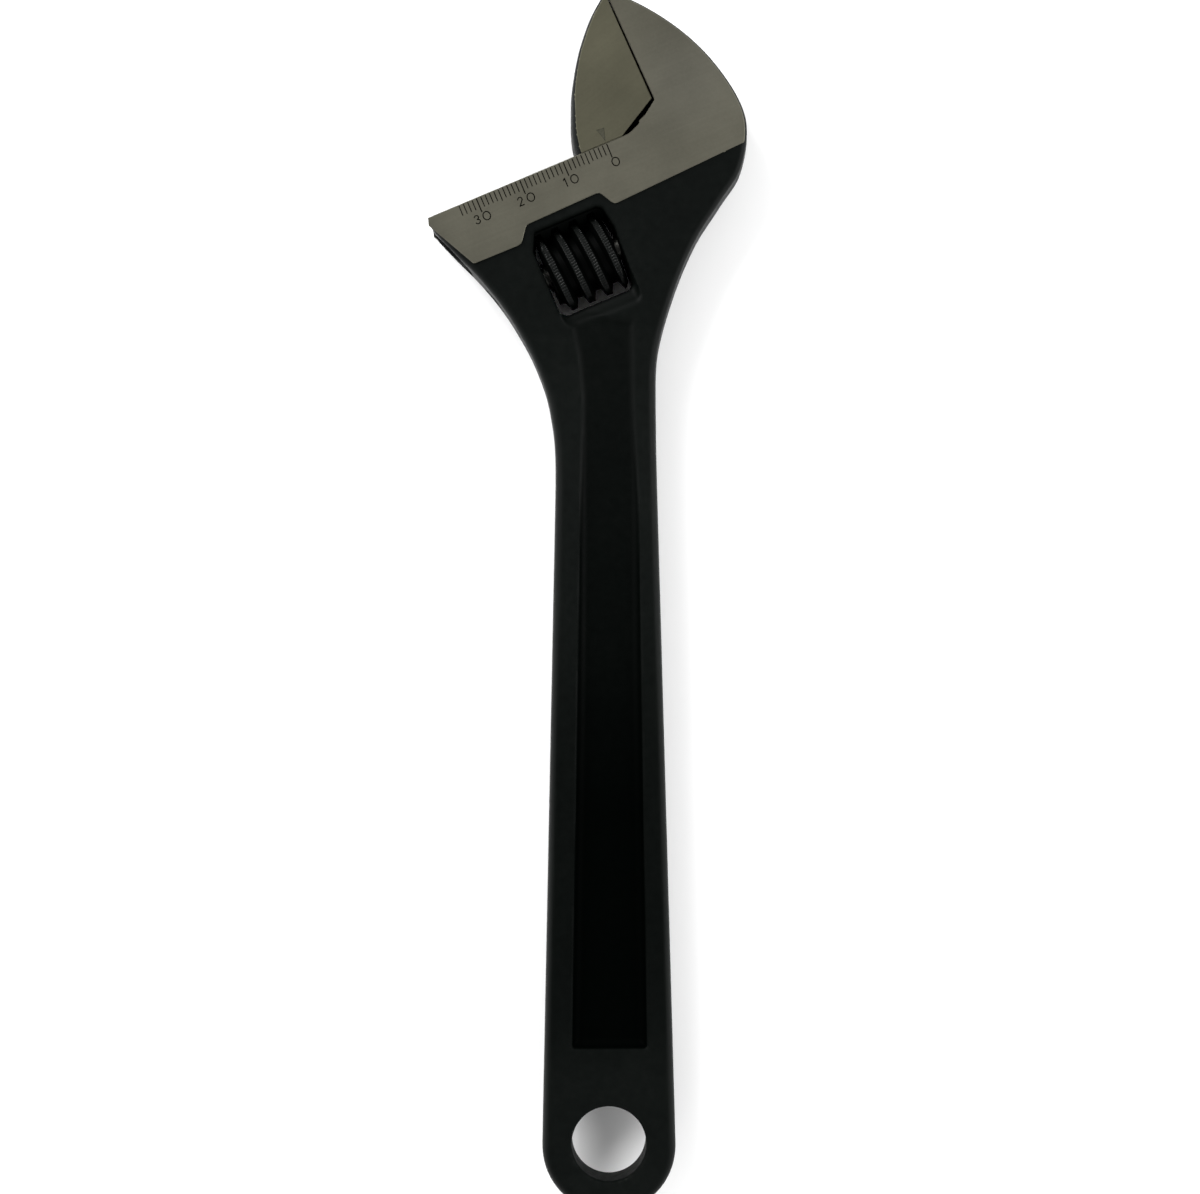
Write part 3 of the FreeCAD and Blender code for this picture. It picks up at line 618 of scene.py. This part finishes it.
# painted shade on the walls of the jaw mouth and the throat gap
near_mouth = (np.abs(mouth_distance(vu, vv)) < 0.15) & (np.abs(bv[:, 2]) < 7.6)
tone = np.where(near_mouth, 0.12, tone)
forging = make_mesh("body_forging", bv, bf, "handle", [M_BLACK, M_GROUND, M_MILLED], idx, smooth=32, replace="body", shade=tone)


# ------------------------------------------------------------------ ground faces with their marks
def ccw(p):
    p = np.asarray(p, float)
    a = (p[:, 0] * np.roll(p[:, 1], -1) - np.roll(p[:, 0], -1) * p[:, 1]).sum()
    return p if a > 0 else p[::-1]


def inset(p, d):
    """A closed counter-clockwise outline moved d inwards, corners mitred."""
    p = np.asarray(p, float)
    e = np.roll(p, -1, 0) - p
    e /= np.linalg.norm(e, axis=1)[:, None]
    n = np.stack([-e[:, 1], e[:, 0]], 1)
    m = np.roll(n, 1, 0)
    k = d / np.maximum(1 + (n * m).sum(1), 0.35)
    return p + (n + m) * k[:, None]


def stroke(points, w):
    """The outline of a pen line of width w with rounded ends."""
    p = np.asarray(points, float)
    t = np.gradient(p, axis=0)
    t /= np.linalg.norm(t, axis=1)[:, None]
    n = np.stack([-t[:, 1], t[:, 0]], 1) * w / 2
    cap = []
    for q, a0 in ((p[-1], math.atan2(-n[-1][1], -n[-1][0])), (p[0], math.atan2(n[0][1], n[0][0]))):
        cap.append([(q[0] + w / 2 * math.cos(a0 + math.pi * i / 5), q[1] + w / 2 * math.sin(a0 + math.pi * i / 5)) for i in range(1, 5)])
    return ccw(np.concatenate([p - n, cap[0], (p + n)[::-1], cap[1]]))


def ellipse(cx, cy, a, b, n=20):
    return np.array([(cx + a * math.cos(2 * math.pi * i / n), cy + b * math.sin(2 * math.pi * i / n)) for i in range(n)])


def arc_points(cx, cy, a, b, t0, t1, n):
    return [(cx + a * math.cos(math.radians(t0 + (t1 - t0) * i / n)), cy + b * math.sin(math.radians(t0 + (t1 - t0) * i / n))) for i in range(n + 1)]


def glyph(ch, x, y, h, w=0.34):
    """Outlines of a digit of height h with its lower left corner at (x, y): (cut outlines, islands)."""
    s = h / 2.0
    if ch == "0":
        return [ellipse(x + 0.88 * s, y + s, 0.88 * s, s, 24)], [ellipse(x + 0.88 * s, y + s, 0.88 * s - w, s - w, 20)]
    if ch == "1":
        pts = [(x + 0.35 * s, y + 1.62 * s), (x + 0.62 * s, y + 1.80 * s), (x + 0.74 * s, y + 1.86 * s), (x + 0.75 * s, y + 1.5 * s), (x + 0.75 * s, y + 0.7 * s), (x + 0.75 * s, y + 0.17 * s)]
        r = [(x + 0.75 * s - w / 2, y), (x + 0.75 * s + w / 2, y), (x + 0.75 * s + w / 2, y + 2 * s), (x + 0.75 * s - w * 0.3, y + 2 * s), (x + 0.3 * s, y + 1.68 * s), (x + 0.3 * s, y + 1.68 * s - w * 1.2), (x + 0.75 * s - w / 2, y + 1.62 * s)]
        return [ccw(r)], []
    if ch == "2":
        pts = arc_points(x + 0.6 * s, y + 1.42 * s, 0.46 * s, 0.44 * s, 170, -30, 12) + [(x + 0.72 * s, y + 0.85 * s), (x + 0.42 * s, y + 0.47 * s), (x + 0.16 * s, y + w / 2 + 0.04 * s)]
        a = stroke(pts, w)
        return [a, ccw([(x + 0.02 * s, y - 0.0), (x + 1.15 * s, y), (x + 1.15 * s, y + w), (x + 0.36 * s, y + w), (x + 0.02 * s, y + w)])], []
    if ch == "3":
        top = arc_points(x + 0.55 * s, y + 1.46 * s, 0.44 * s, 0.40 * s, 160, -80, 12)
        low = arc_points(x + 0.55 * s, y + 0.56 * s, 0.50 * s, 0.44 * s, 88, -160, 14)
        return [stroke(top, w), stroke(low, w)], []
    return [], []


def fill_2d(loops):
    """A triangulation of the area between closed loops: (points, triangles)."""
    pts, edges, base = [], [], 0
    for l in loops:
        n = len(l)
        pts += [Vector((float(a), float(b))) for a, b in l]
        edges += [(base + i, base + (i + 1) % n) for i in range(n)]
        base += n
    v, e, f, ov, oe, of_ = delaunay_2d_cdt(pts, edges, [], 0, 1e-7)
    return np.array([(p.x, p.y) for p in v]), np.array([list(t) for t in f], int)


def ground_plate(name, outline_uv, cuts, islands, sign, z_top, z_low, body, mats, chamfer=0.13, deep=0.14):
    """A thin ground skin: a chamfered outline, with marks cut into it."""
    o = ccw(outline_uv)
    top = inset(o, chamfer)
    loops = [top] + cuts + islands
    p, t = fill_2d(loops)
    cen = p[t].mean(1)
    keep = polygon_distance(cen[:, 0], cen[:, 1], top) < 0
    cut = np.zeros(len(t), bool)
    for k in cuts:
        cut |= polygon_distance(cen[:, 0], cen[:, 1], k) < 0
    for k in islands:
        cut &= ~(polygon_distance(cen[:, 0], cen[:, 1], k) < 0)
    area2 = np.abs(np.cross(p[t[:, 1]] - p[t[:, 0]], p[t[:, 2]] - p[t[:, 0]]))
    keep &= area2 > 1e-9
    verts, faces, mat = [], [], []

    def add(points_uv, z):
        b = len(verts)
        for a, q in points_uv:
            x, y = to_xy(a, q)
            verts.append((x, y, sign * z))
        return b

    flip = sign < 0

    def tri(f, m):
        faces.append(list(f)[::-1] if flip else list(f))
        mat.append(m)

    b0 = add(p, z_top)
    b1 = add(p, z_top - deep)
    # orientation of the triangles as given
    s = np.cross(p[t[:, 1]] - p[t[:, 0]], p[t[:, 2]] - p[t[:, 0]])
    t = np.where((s < 0)[:, None], t[:, ::-1], t)
    for f, k, c_ in zip(t, keep, cut):
        if k and not c_:
            tri([b0 + i for i in f], 0)
        elif k:
            tri([b1 + i for i in f], 1)
    # walls between the top face and the cut floors
    owner = {}
    for f, k, c_ in zip(t, keep, cut):
        if k:
            for i in range(3):
                owner[(int(f[i]), int(f[(i + 1) % 3]))] = bool(c_)
    for (i, j), c_ in owner.items():
        if not c_ and owner.get((j, i)) is True:
            tri([b0 + j, b0 + i, b1 + i, b1 + j], 1)
    # chamfer and side
    n = len(o)
    r0, r1, r2 = add(top, z_top), add(o, z_top - chamfer), add(inset(o, 0.05), z_low)
    for i in range(n):
        j = (i + 1) % n
        tri([r1 + i, r1 + j, r0 + j, r0 + i], 0)
        tri([r2 + i, r2 + j, r1 + j, r1 + i], 2)
    o_ = make_mesh(name, verts, faces, body, mats, mat)
    import bmesh
    bm = bmesh.new(); bm.from_mesh(o_.data)
    bmesh.ops.remove_doubles(bm, verts=bm.verts, dist=2e-7)
    loose = [q for q in bm.verts if not q.link_faces]
    bmesh.ops.delete(bm, geom=loose, context="VERTS")
    bm.to_mesh(o_.data); bm.free()
    return o_


# outline of the body's cheek
curve_in = []
nrm = np.gradient(right_pts, axis=0)
nrm /= np.linalg.norm(nrm, axis=1)[:, None]
inner = right_pts + np.stack([nrm[:, 1], -nrm[:, 0]], 1) * 0.85
iu, iv = to_uv(inner[:, 0], inner[:, 1])
tip_line = lambda u: TIP_V - 0.088 * (u - 5.0) - 0.06
border_line = lambda u: -12.6 + (u + 3.0) * (1.6 / 33.0)
sel = (iv < tip_line(iu)) & (iv > border_line(iu))
curve_in = list(zip(iu[sel], iv[sel]))[::3]
last = curve_in[-1]
top_u = curve_in[0][0]
cheek_outline = ([(-41.27, -0.03), (3.6, -0.03), (5.04, 0.02), (6.03, 0.32), (7.08, 0.75), (7.95, 1.23), (8.07, 1.66), (9.8, 2.37), (12.74, 4.40), (12.89, 4.75), (12.19, tip_line(12.19))]
                 + [(curve_in[0][0] - 0.3, tip_line(curve_in[0][0] - 0.3))] + curve_in + [(last[0] - 0.25, border_line(last[0] - 0.25))] + border[::-1])
ticks = []
for i in range(35):
    ln = 3.15 if i % 10 == 0 else (2.6 if i % 5 == 0 else 2.25)
    w = 0.12 if i % 10 == 0 else 0.105
    a = -float(i) - 0.2
    ticks.append(ccw([(a - w, -0.22), (a + w, -0.22), (a + w, -0.22 - ln), (a - w, -0.22 - ln)]))
cuts, islands = list(ticks), []
for text, starts in (("0", [-0.75]), ("10", [-12.05, -10.25]), ("20", [-22.35, -20.3]), ("30", [-32.3, -30.45])):
    for ch, x0 in zip(text, starts):
        cc, ii = glyph(ch, x0, -5.45, 2.04, 0.23)
        cuts += cc; islands += ii
cheek_front = ground_plate("cheek_scale", cheek_outline, cuts, islands, 1, 8.0, 7.3, "handle", [M_GROUND, M_MARK, M_GROUND])
cheek_back = ground_plate("cheek_back", cheek_outline, [], [], -1, 8.0, 7.3, "handle", [M_GROUND, M_MARK, M_GROUND])
print("plates", len(cheek_front.data.polygons), len(cheek_back.data.polygons), round(time.time() - T0, 1), "s", flush=True)

# ------------------------------------------------------------------ movable jaw
jaw_side = [(12.6, 31.2), (11.35, 29.85), (10.14, 28.9), (7.22, 26.54), (4.18, 23.39), (1.43, 20.03), (-0.92, 16.42), (-3.01, 12.76), (-4.7, 8.95),
            (-6.25, 5.05), (-7.2, 1.0), (-7.4, -1.5)]
jaw_curve = cubic(jaw_side, 120)
jaw_outline = np.concatenate([jaw_curve, [(15.0, -1.5), (15.0, 31.2)]])
J2 = Plane(lambda u, v: polygon_distance(u, v, jaw_outline), -26, 26, -16, 33, 0.3, blur=1)
STEM_R, NECK_HALF = 6.20, 3.40
MESH_U, MESH_PLAY, TAN_F = WORM_CREST_U - WORM_PITCH / 4, 0.20, math.tan(math.radians(20.0))
LEAD = WORM_PITCH / (2 * math.pi * (WORM_R + WORM_ROOT_R) / 2)
JAW_LOW = np.array([3.4, 0.03])
jt = np.array([12.4, 5.08]) - JAW_LOW; jt /= np.linalg.norm(jt)


def jaw_grip(u, v):
    """Signed distance to the movable jaw's gripping face."""
    return (u - 12.4) + (v - 5.08) * (0.59 / 25.12)


def jaw_throat(u, v):
    return (u - JAW_LOW[0]) * jt[1] - (v - JAW_LOW[1]) * jt[0]


def jaw_columns(u, v):
    head = np.maximum(0.03 - v, jaw_grip(u, v))
    head = np.maximum(head, jaw_throat(u, v))
    head = np.maximum(head, v - 30.2 - np.where(u < 6.0, (u - 6.0) * 3.0 / 26.0, 0))
    return {"u": u, "v": v, "d": J2(u, v), "head": head, "r": 2.2 + 1.0 * smooth_step((16.0 - v) / 16.0)}


def jaw_field(c, z):
    az = np.abs(z)
    u, v = c["u"], c["v"]
    side = c["d"] + 0.06 * np.maximum(az - 1.0, 0)
    f = rmax(side, az - 8.7, c["r"])
    f = np.maximum(f, c["head"])
    f = np.maximum(f, az - 7.86)
    neck = np.maximum(np.maximum(np.abs(u + 1.85) - 5.35, az - NECK_HALF), np.maximum(STEM_V - v, v - 1.0))
    f = np.minimum(f, neck)
    r = np.hypot(v - STEM_V, z)
    stem = np.maximum(r - STEM_R, np.abs(u) - 24.0)
    stem = np.maximum(stem, (r + np.abs(u) - STEM_R - 24.0 + 0.6) * 0.7071)
    w = np.mod(u - MESH_U - LEAD * z + WORM_PITCH / 2, WORM_PITCH) - WORM_PITCH / 2
    gap = WORM_CREST / 2 + (WORM_V + WORM_R - v) * TAN_F + MESH_PLAY
    rack = rmax(np.abs(w) - gap, v - (WORM_V + WORM_R + 0.25), 0.15)
    stem = np.maximum(stem, -rack)
    return np.minimum(f, stem)


ju = graded([(-24.6, 0.42), (24.6, 0)])
jv = graded([(-14.5, 0.42), (30.9, 0)])
jz = graded([(-8.4, 0.42), (8.4, 0)])
jp, jf = contour(jaw_field, ju, jv, jz, jaw_columns)
jp[:, 1] = np.minimum(jp[:, 1], 30.2)
c, n = face_facts(jp, jf)
milled = (np.abs(c[:, 1] - 0.03) < 0.1) & (n[:, 1] < -0.8) | (np.abs(jaw_grip(c[:, 0], c[:, 1])) < 0.12) & (n[:, 0] > 0.8) & (c[:, 1] > 5.3)
idx = np.where(np.abs(c[:, 2]) > 7.8, 1, np.where(milled, 2, 0))
jx, jy = to_xy(jp[:, 0], jp[:, 1])
# painted shade in the throat gap and on the stem and neck under the jaw, and a painted highlight on the jaw's rounded
# edges
jaw_painted_light = np.where((np.abs(jaw_throat(jp[:, 0], jp[:, 1])) < 0.15) & (jp[:, 0] > 3.4) & (jp[:, 1] < 5.3), 0.12, 1.0)
jaw_painted_light = np.where(jp[:, 1] < -0.1, 0.4, jaw_painted_light) * (1 + 0.7 * smooth_step((J2(jp[:, 0], jp[:, 1]) + 1.4) / 1.1) * (jp[:, 1] > 0.2))
jaw_piece = make_mesh("jaw_forging", np.stack([jx, jy, jp[:, 2]], 1), jf, "jaw", [M_BLACK, M_JAW_GROUND, M_MILLED], idx, smooth=32, replace="movable_jaw",
                      shade=jaw_painted_light)

# ground faces of the movable jaw, with the pointer over the scale on the front one
jn = np.gradient(jaw_curve, axis=0); jn /= np.linalg.norm(jn, axis=1)[:, None]
ins = 0.85 + 0.62 * smooth_step((16.0 - jaw_curve[:, 1]) / 16.0)
inner_jaw = jaw_curve + np.stack([-jn[:, 1], jn[:, 0]], 1) * ins[:, None]
top_line = lambda u: 30.2 + (np.where(u < 6.0, (u - 6.0) * 3.0 / 26.0, 0)) - 0.03
sel = (inner_jaw[:, 1] < top_line(inner_jaw[:, 0])) & (inner_jaw[:, 1] > 0.06) & (inner_jaw[:, 0] < 11.6)
edge = inner_jaw[sel][::2]
jaw_face = [(11.78, float(top_line(11.78)))] + [tuple(p) for p in edge] + [(edge[-1][0] - 0.02, 0.06), (3.39, 0.06), (12.37, 5.10)]
pointer = [ccw([(-1.08, 3.33), (-0.2, 0.3), (0.66, 3.12)])]
jaw_front = ground_plate("jaw_face_front", jaw_face, pointer, [], 1, 8.0, 7.3, "jaw", [M_JAW_GROUND, M_POINTER, M_JAW_GROUND], deep=0.08)
jaw_back = ground_plate("jaw_face_back", jaw_face, [], [], -1, 8.0, 7.3, "jaw", [M_JAW_GROUND, M_MARK, M_JAW_GROUND])
print("jaw", len(jf), round(time.time() - T0, 1), "s", flush=True)

# ------------------------------------------------------------------ worm
TEETH, PER_TOOTH = 82, 6
n_th = TEETH * PER_TOOTH
theta = np.arange(n_th) * 2 * math.pi / n_th
HALF = WORM_CREST / 2
FOOT = HALF + (WORM_R - WORM_ROOT_R) * TAN_F
profile = [(-2.05, 0), (-FOOT - 0.22, 0), (-FOOT - 0.06, 0), (-FOOT + 0.10, 0), (-(FOOT + HALF) / 2, 0), (-HALF - 0.10, 0), (-HALF + 0.02, 0), (-HALF + 0.14, 1),
           (-0.30, 1), (-0.12, 1), (0.12, 1), (0.30, 1), (HALF - 0.14, 1), (HALF - 0.02, 0), (HALF + 0.10, 0), ((FOOT + HALF) / 2, 0), (FOOT - 0.10, 0), (FOOT + 0.06, 0), (FOOT + 0.22, 0)]
m_prof = len(profile)
turns = int(math.ceil((WORM_U1 - WORM_U0) / WORM_PITCH)) + 2
u_first = WORM_CREST_U - WORM_PITCH / 4 - WORM_PITCH * math.ceil((WORM_CREST_U - WORM_U0) / WORM_PITCH + 1)
rows_u, rows_s = [], []
for k in range(turns + 1):
    for s_, _ in profile:
        rows_u.append(u_first + k * WORM_PITCH + s_); rows_s.append(s_)
rows_u, rows_s = np.array(rows_u), np.array(rows_s)
U = rows_u[:, None] + WORM_PITCH * theta[None, :] / (2 * math.pi)
S = np.repeat(rows_s[:, None], n_th, 1)
Uc = np.clip(U, WORM_U0, WORM_U1)
S = S + (Uc - U)                      # a clipped point takes the thread's profile where it ends up
S = np.mod(S + WORM_PITCH / 2, WORM_PITCH) - WORM_PITCH / 2
A = np.abs(S)
R = np.where(A < HALF, WORM_R, WORM_R - (A - HALF) / TAN_F)
R = WORM_ROOT_R + rmax(R - WORM_ROOT_R, np.zeros_like(R), 0.12)
R = WORM_R + rmin(R - WORM_R, np.zeros_like(R), 0.10)
limit = np.minimum(Uc - WORM_U0, WORM_U1 - Uc)
R = np.minimum(R, WORM_R + 0.5 - 1.3 + limit)
R = np.maximum(R, 6.35)
tooth = np.abs(np.mod(theta * TEETH / (2 * math.pi) + 0.35 * Uc, 1.0) - 0.5) * 2
groove = 0.20 * smooth_step((0.62 - tooth) / 0.5) * smooth_step((HALF - 0.02 - A) / 0.12)
R = R - np.where(limit > 0.5, groove, 0)
V_ = WORM_V + R * np.cos(theta)[None, :]
Z_ = R * np.sin(theta)[None, :]
wx, wy = to_xy(Uc, V_)
verts = np.stack([wx, wy, Z_], 2).reshape(-1, 3)
n_rows = len(rows_u)
faces, mats = [], []
uflat, aflat = Uc.reshape(-1), A.reshape(-1)
for k in range(n_rows - 1):
    a = k * n_th + np.arange(n_th)
    b = k * n_th + (np.arange(n_th) + 1) % n_th
    # past a full turn the same helical line has moved on by one pitch, so the seam joins rows one pitch apart
    shift = np.where(np.arange(n_th) + 1 == n_th, m_prof, 0)
    kb = k - 0 * shift
    b = b + 0
    seam = np.arange(n_th) + 1 == n_th
    b = np.where(seam, (k + m_prof) * n_th, b)
    ok = b + n_th < len(verts)
    q = np.stack([a, a + n_th, b + n_th, b], 1)[ok]
    keep = ~((np.ptp(uflat[q], axis=1) < 1e-6))
    faces.append(q[keep])
faces = np.concatenate(faces)
crest = (aflat[faces] < HALF + 0.03).all(1)
base = len(verts)


def ring(u, r):
    """A ring of points round the worm's axis, and the index of its first point."""
    global verts, base
    x, y = to_xy(np.full(n_th, u), WORM_V + r * np.cos(theta))
    verts = np.concatenate([verts, np.stack([x, y, r * np.sin(theta)], 1)])
    first = base
    base += n_th
    return first


def band(a, b):
    i = np.arange(n_th); j = (i + 1) % n_th
    return np.stack([a + i, a + j, b + j, b + i], 1)


def end_ring(u_end):
    """For each angle, the row whose point lies on the worm's end face."""
    hit = np.isclose(Uc, u_end, atol=1e-9)
    rows = np.where(u_end == WORM_U1, hit.argmax(0), n_rows - 1 - hit[::-1].argmax(0))
    return rows * n_th + np.arange(n_th)


PIN_BORE, POCKET_R, POCKET = 2.45, 3.70, 3.2
er, el = end_ring(WORM_U1), end_ring(WORM_U0)
extra = []
i = np.arange(n_th); j = (i + 1) % n_th
r_a = ring(WORM_U1, PIN_BORE + 0.25); r_b = ring(WORM_U1 - 0.25, PIN_BORE)
l_a = ring(WORM_U0, POCKET_R + 0.15); l_b = ring(WORM_U0 + 0.15, POCKET_R); l_c = ring(WORM_U0 + POCKET, POCKET_R); l_d = ring(WORM_U0 + POCKET, PIN_BORE)
extra.append(np.stack([er[i], er[j], r_a + j, r_a + i], 1)[:, ::-1])
extra.append(band(r_a, r_b)[:, ::-1])
extra.append(np.stack([el[i], el[j], l_a + j, l_a + i], 1))
extra.append(band(l_a, l_b)); extra.append(band(l_b, l_c)); extra.append(band(l_c, l_d)); extra.append(band(l_d, r_b))
extra = np.concatenate(extra)
allf = np.concatenate([faces, extra])
mi = np.concatenate([np.where(crest, 1, 0), np.zeros(len(extra), int)])
worm_piece = make_mesh("worm_thread", verts, allf, "worm", [M_WORM, M_WORM_CREST], mi, replace="worm")
import bmesh
bm = bmesh.new(); bm.from_mesh(worm_piece.data)
bmesh.ops.remove_doubles(bm, verts=bm.verts, dist=1e-6)
bmesh.ops.delete(bm, geom=[q for q in bm.verts if not q.link_faces], context="VERTS")
bmesh.ops.recalc_face_normals(bm, faces=bm.faces)
bm.to_mesh(worm_piece.data); bm.free()
worm_piece.data.polygons.foreach_set("use_smooth", [True] * len(worm_piece.data.polygons))
worm_piece.data.set_sharp_from_angle(angle=math.radians(38))
print("worm", len(worm_piece.data.polygons), round(time.time() - T0, 1), "s", flush=True)

for node, mat in (("worm_pin", M_PIN), ("worm_spring", M_SPRING)):
    o = nodes[node]
    o.data.materials.clear()
    o.data.materials.append(mat)

# ------------------------------------------------------------------ stage
me = bpy.data.meshes.new("floor")
k = 0.9
me.from_pydata([(-k, -k, -0.0087), (k, -k, -0.0087), (k, k, -0.0087), (-k, k, -0.0087)], [], [(0, 1, 2, 3)])
floor = bpy.data.objects.new("floor", me)
bpy.context.scene.collection.objects.link(floor)
F = Nodes("floor_paper")
fc = F.coords()
F.link(F.ramp(F.noise(fc, 0.01, 3), [(0.3, (0.90, 0.90, 0.90)), (0.7, (0.93, 0.93, 0.93))]), F.bsdf.inputs["Base Color"])
F.bsdf.inputs["Roughness"].default_value = 0.9
F.bsdf.inputs["Specular IOR Level"].default_value = 0.1
me.materials.append(F.mat)
floor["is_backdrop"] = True

world = bpy.data.worlds.new("studio")
bpy.context.scene.world = world
world.use_nodes = True
wt = world.node_tree
wt.nodes.clear()
wo = wt.nodes.new("ShaderNodeOutputWorld"); wb = wt.nodes.new("ShaderNodeBackground")
tc = wt.nodes.new("ShaderNodeTexCoord"); sp = wt.nodes.new("ShaderNodeSeparateXYZ"); rp = wt.nodes.new("ShaderNodeValToRGB")
wt.links.new(tc.outputs["Generated"], sp.inputs[0]); wt.links.new(sp.outputs["Z"], rp.inputs["Fac"])
rp.color_ramp.elements[0].position = 0.0; rp.color_ramp.elements[0].color = (1.0, 1.0, 1.0, 1)
rp.color_ramp.elements[1].position = 1.0; rp.color_ramp.elements[1].color = (0.42, 0.42, 0.42, 1)
e = rp.color_ramp.elements.new(0.35); e.color = (0.95, 0.95, 0.95, 1)
e = rp.color_ramp.elements.new(0.8); e.color = (0.5, 0.5, 0.5, 1)
wt.links.new(rp.outputs["Color"], wb.inputs["Color"]); wb.inputs["Strength"].default_value = 1.1
wt.links.new(wb.outputs[0], wo.inputs[0])


def area(name, place, target, size, power, tint=(1, 1, 1)):
    l = bpy.data.lights.new(name, "AREA")
    l.shape = "RECTANGLE"; l.size, l.size_y = size
    l.energy = power; l.color = tint
    o = bpy.data.objects.new(name, l)
    bpy.context.scene.collection.objects.link(o)
    o.location = place
    o.rotation_euler = (Vector(target) - Vector(place)).to_track_quat("-Z", "Y").to_euler()
    return o


area("key_left", (-0.75, 0.75, 0.75), (0, 0.12, 0), (0.8, 0.8), 20.0)
area("fill_right", (0.85, 0.25, 0.6), (0, 0.12, 0), (0.8, 0.8), 10.0)
area("low_front", (0.0, -0.85, 0.55), (0, 0.12, 0), (0.9, 0.5), 2.0)

cam = bpy.data.cameras.new("camera")
cam.sensor_width = 36.0
cam.lens = 2317.0 / 1200.0 * 36.0
cam.clip_start, cam.clip_end = 0.01, 20.0
camera = bpy.data.objects.new("camera", cam)
bpy.context.scene.collection.objects.link(camera)
camera.location = (-0.00137, 0.1171, 0.5)
camera.rotation_euler = (0.0, 0.0, math.radians(-0.27))
bpy.context.scene.camera = camera
bpy.context.scene.view_settings.view_transform = "Standard"

box_now = [list(map(float, c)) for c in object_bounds()]
print("sizes", cad_box, box_now, round(time.time() - T0, 1), "s", flush=True)
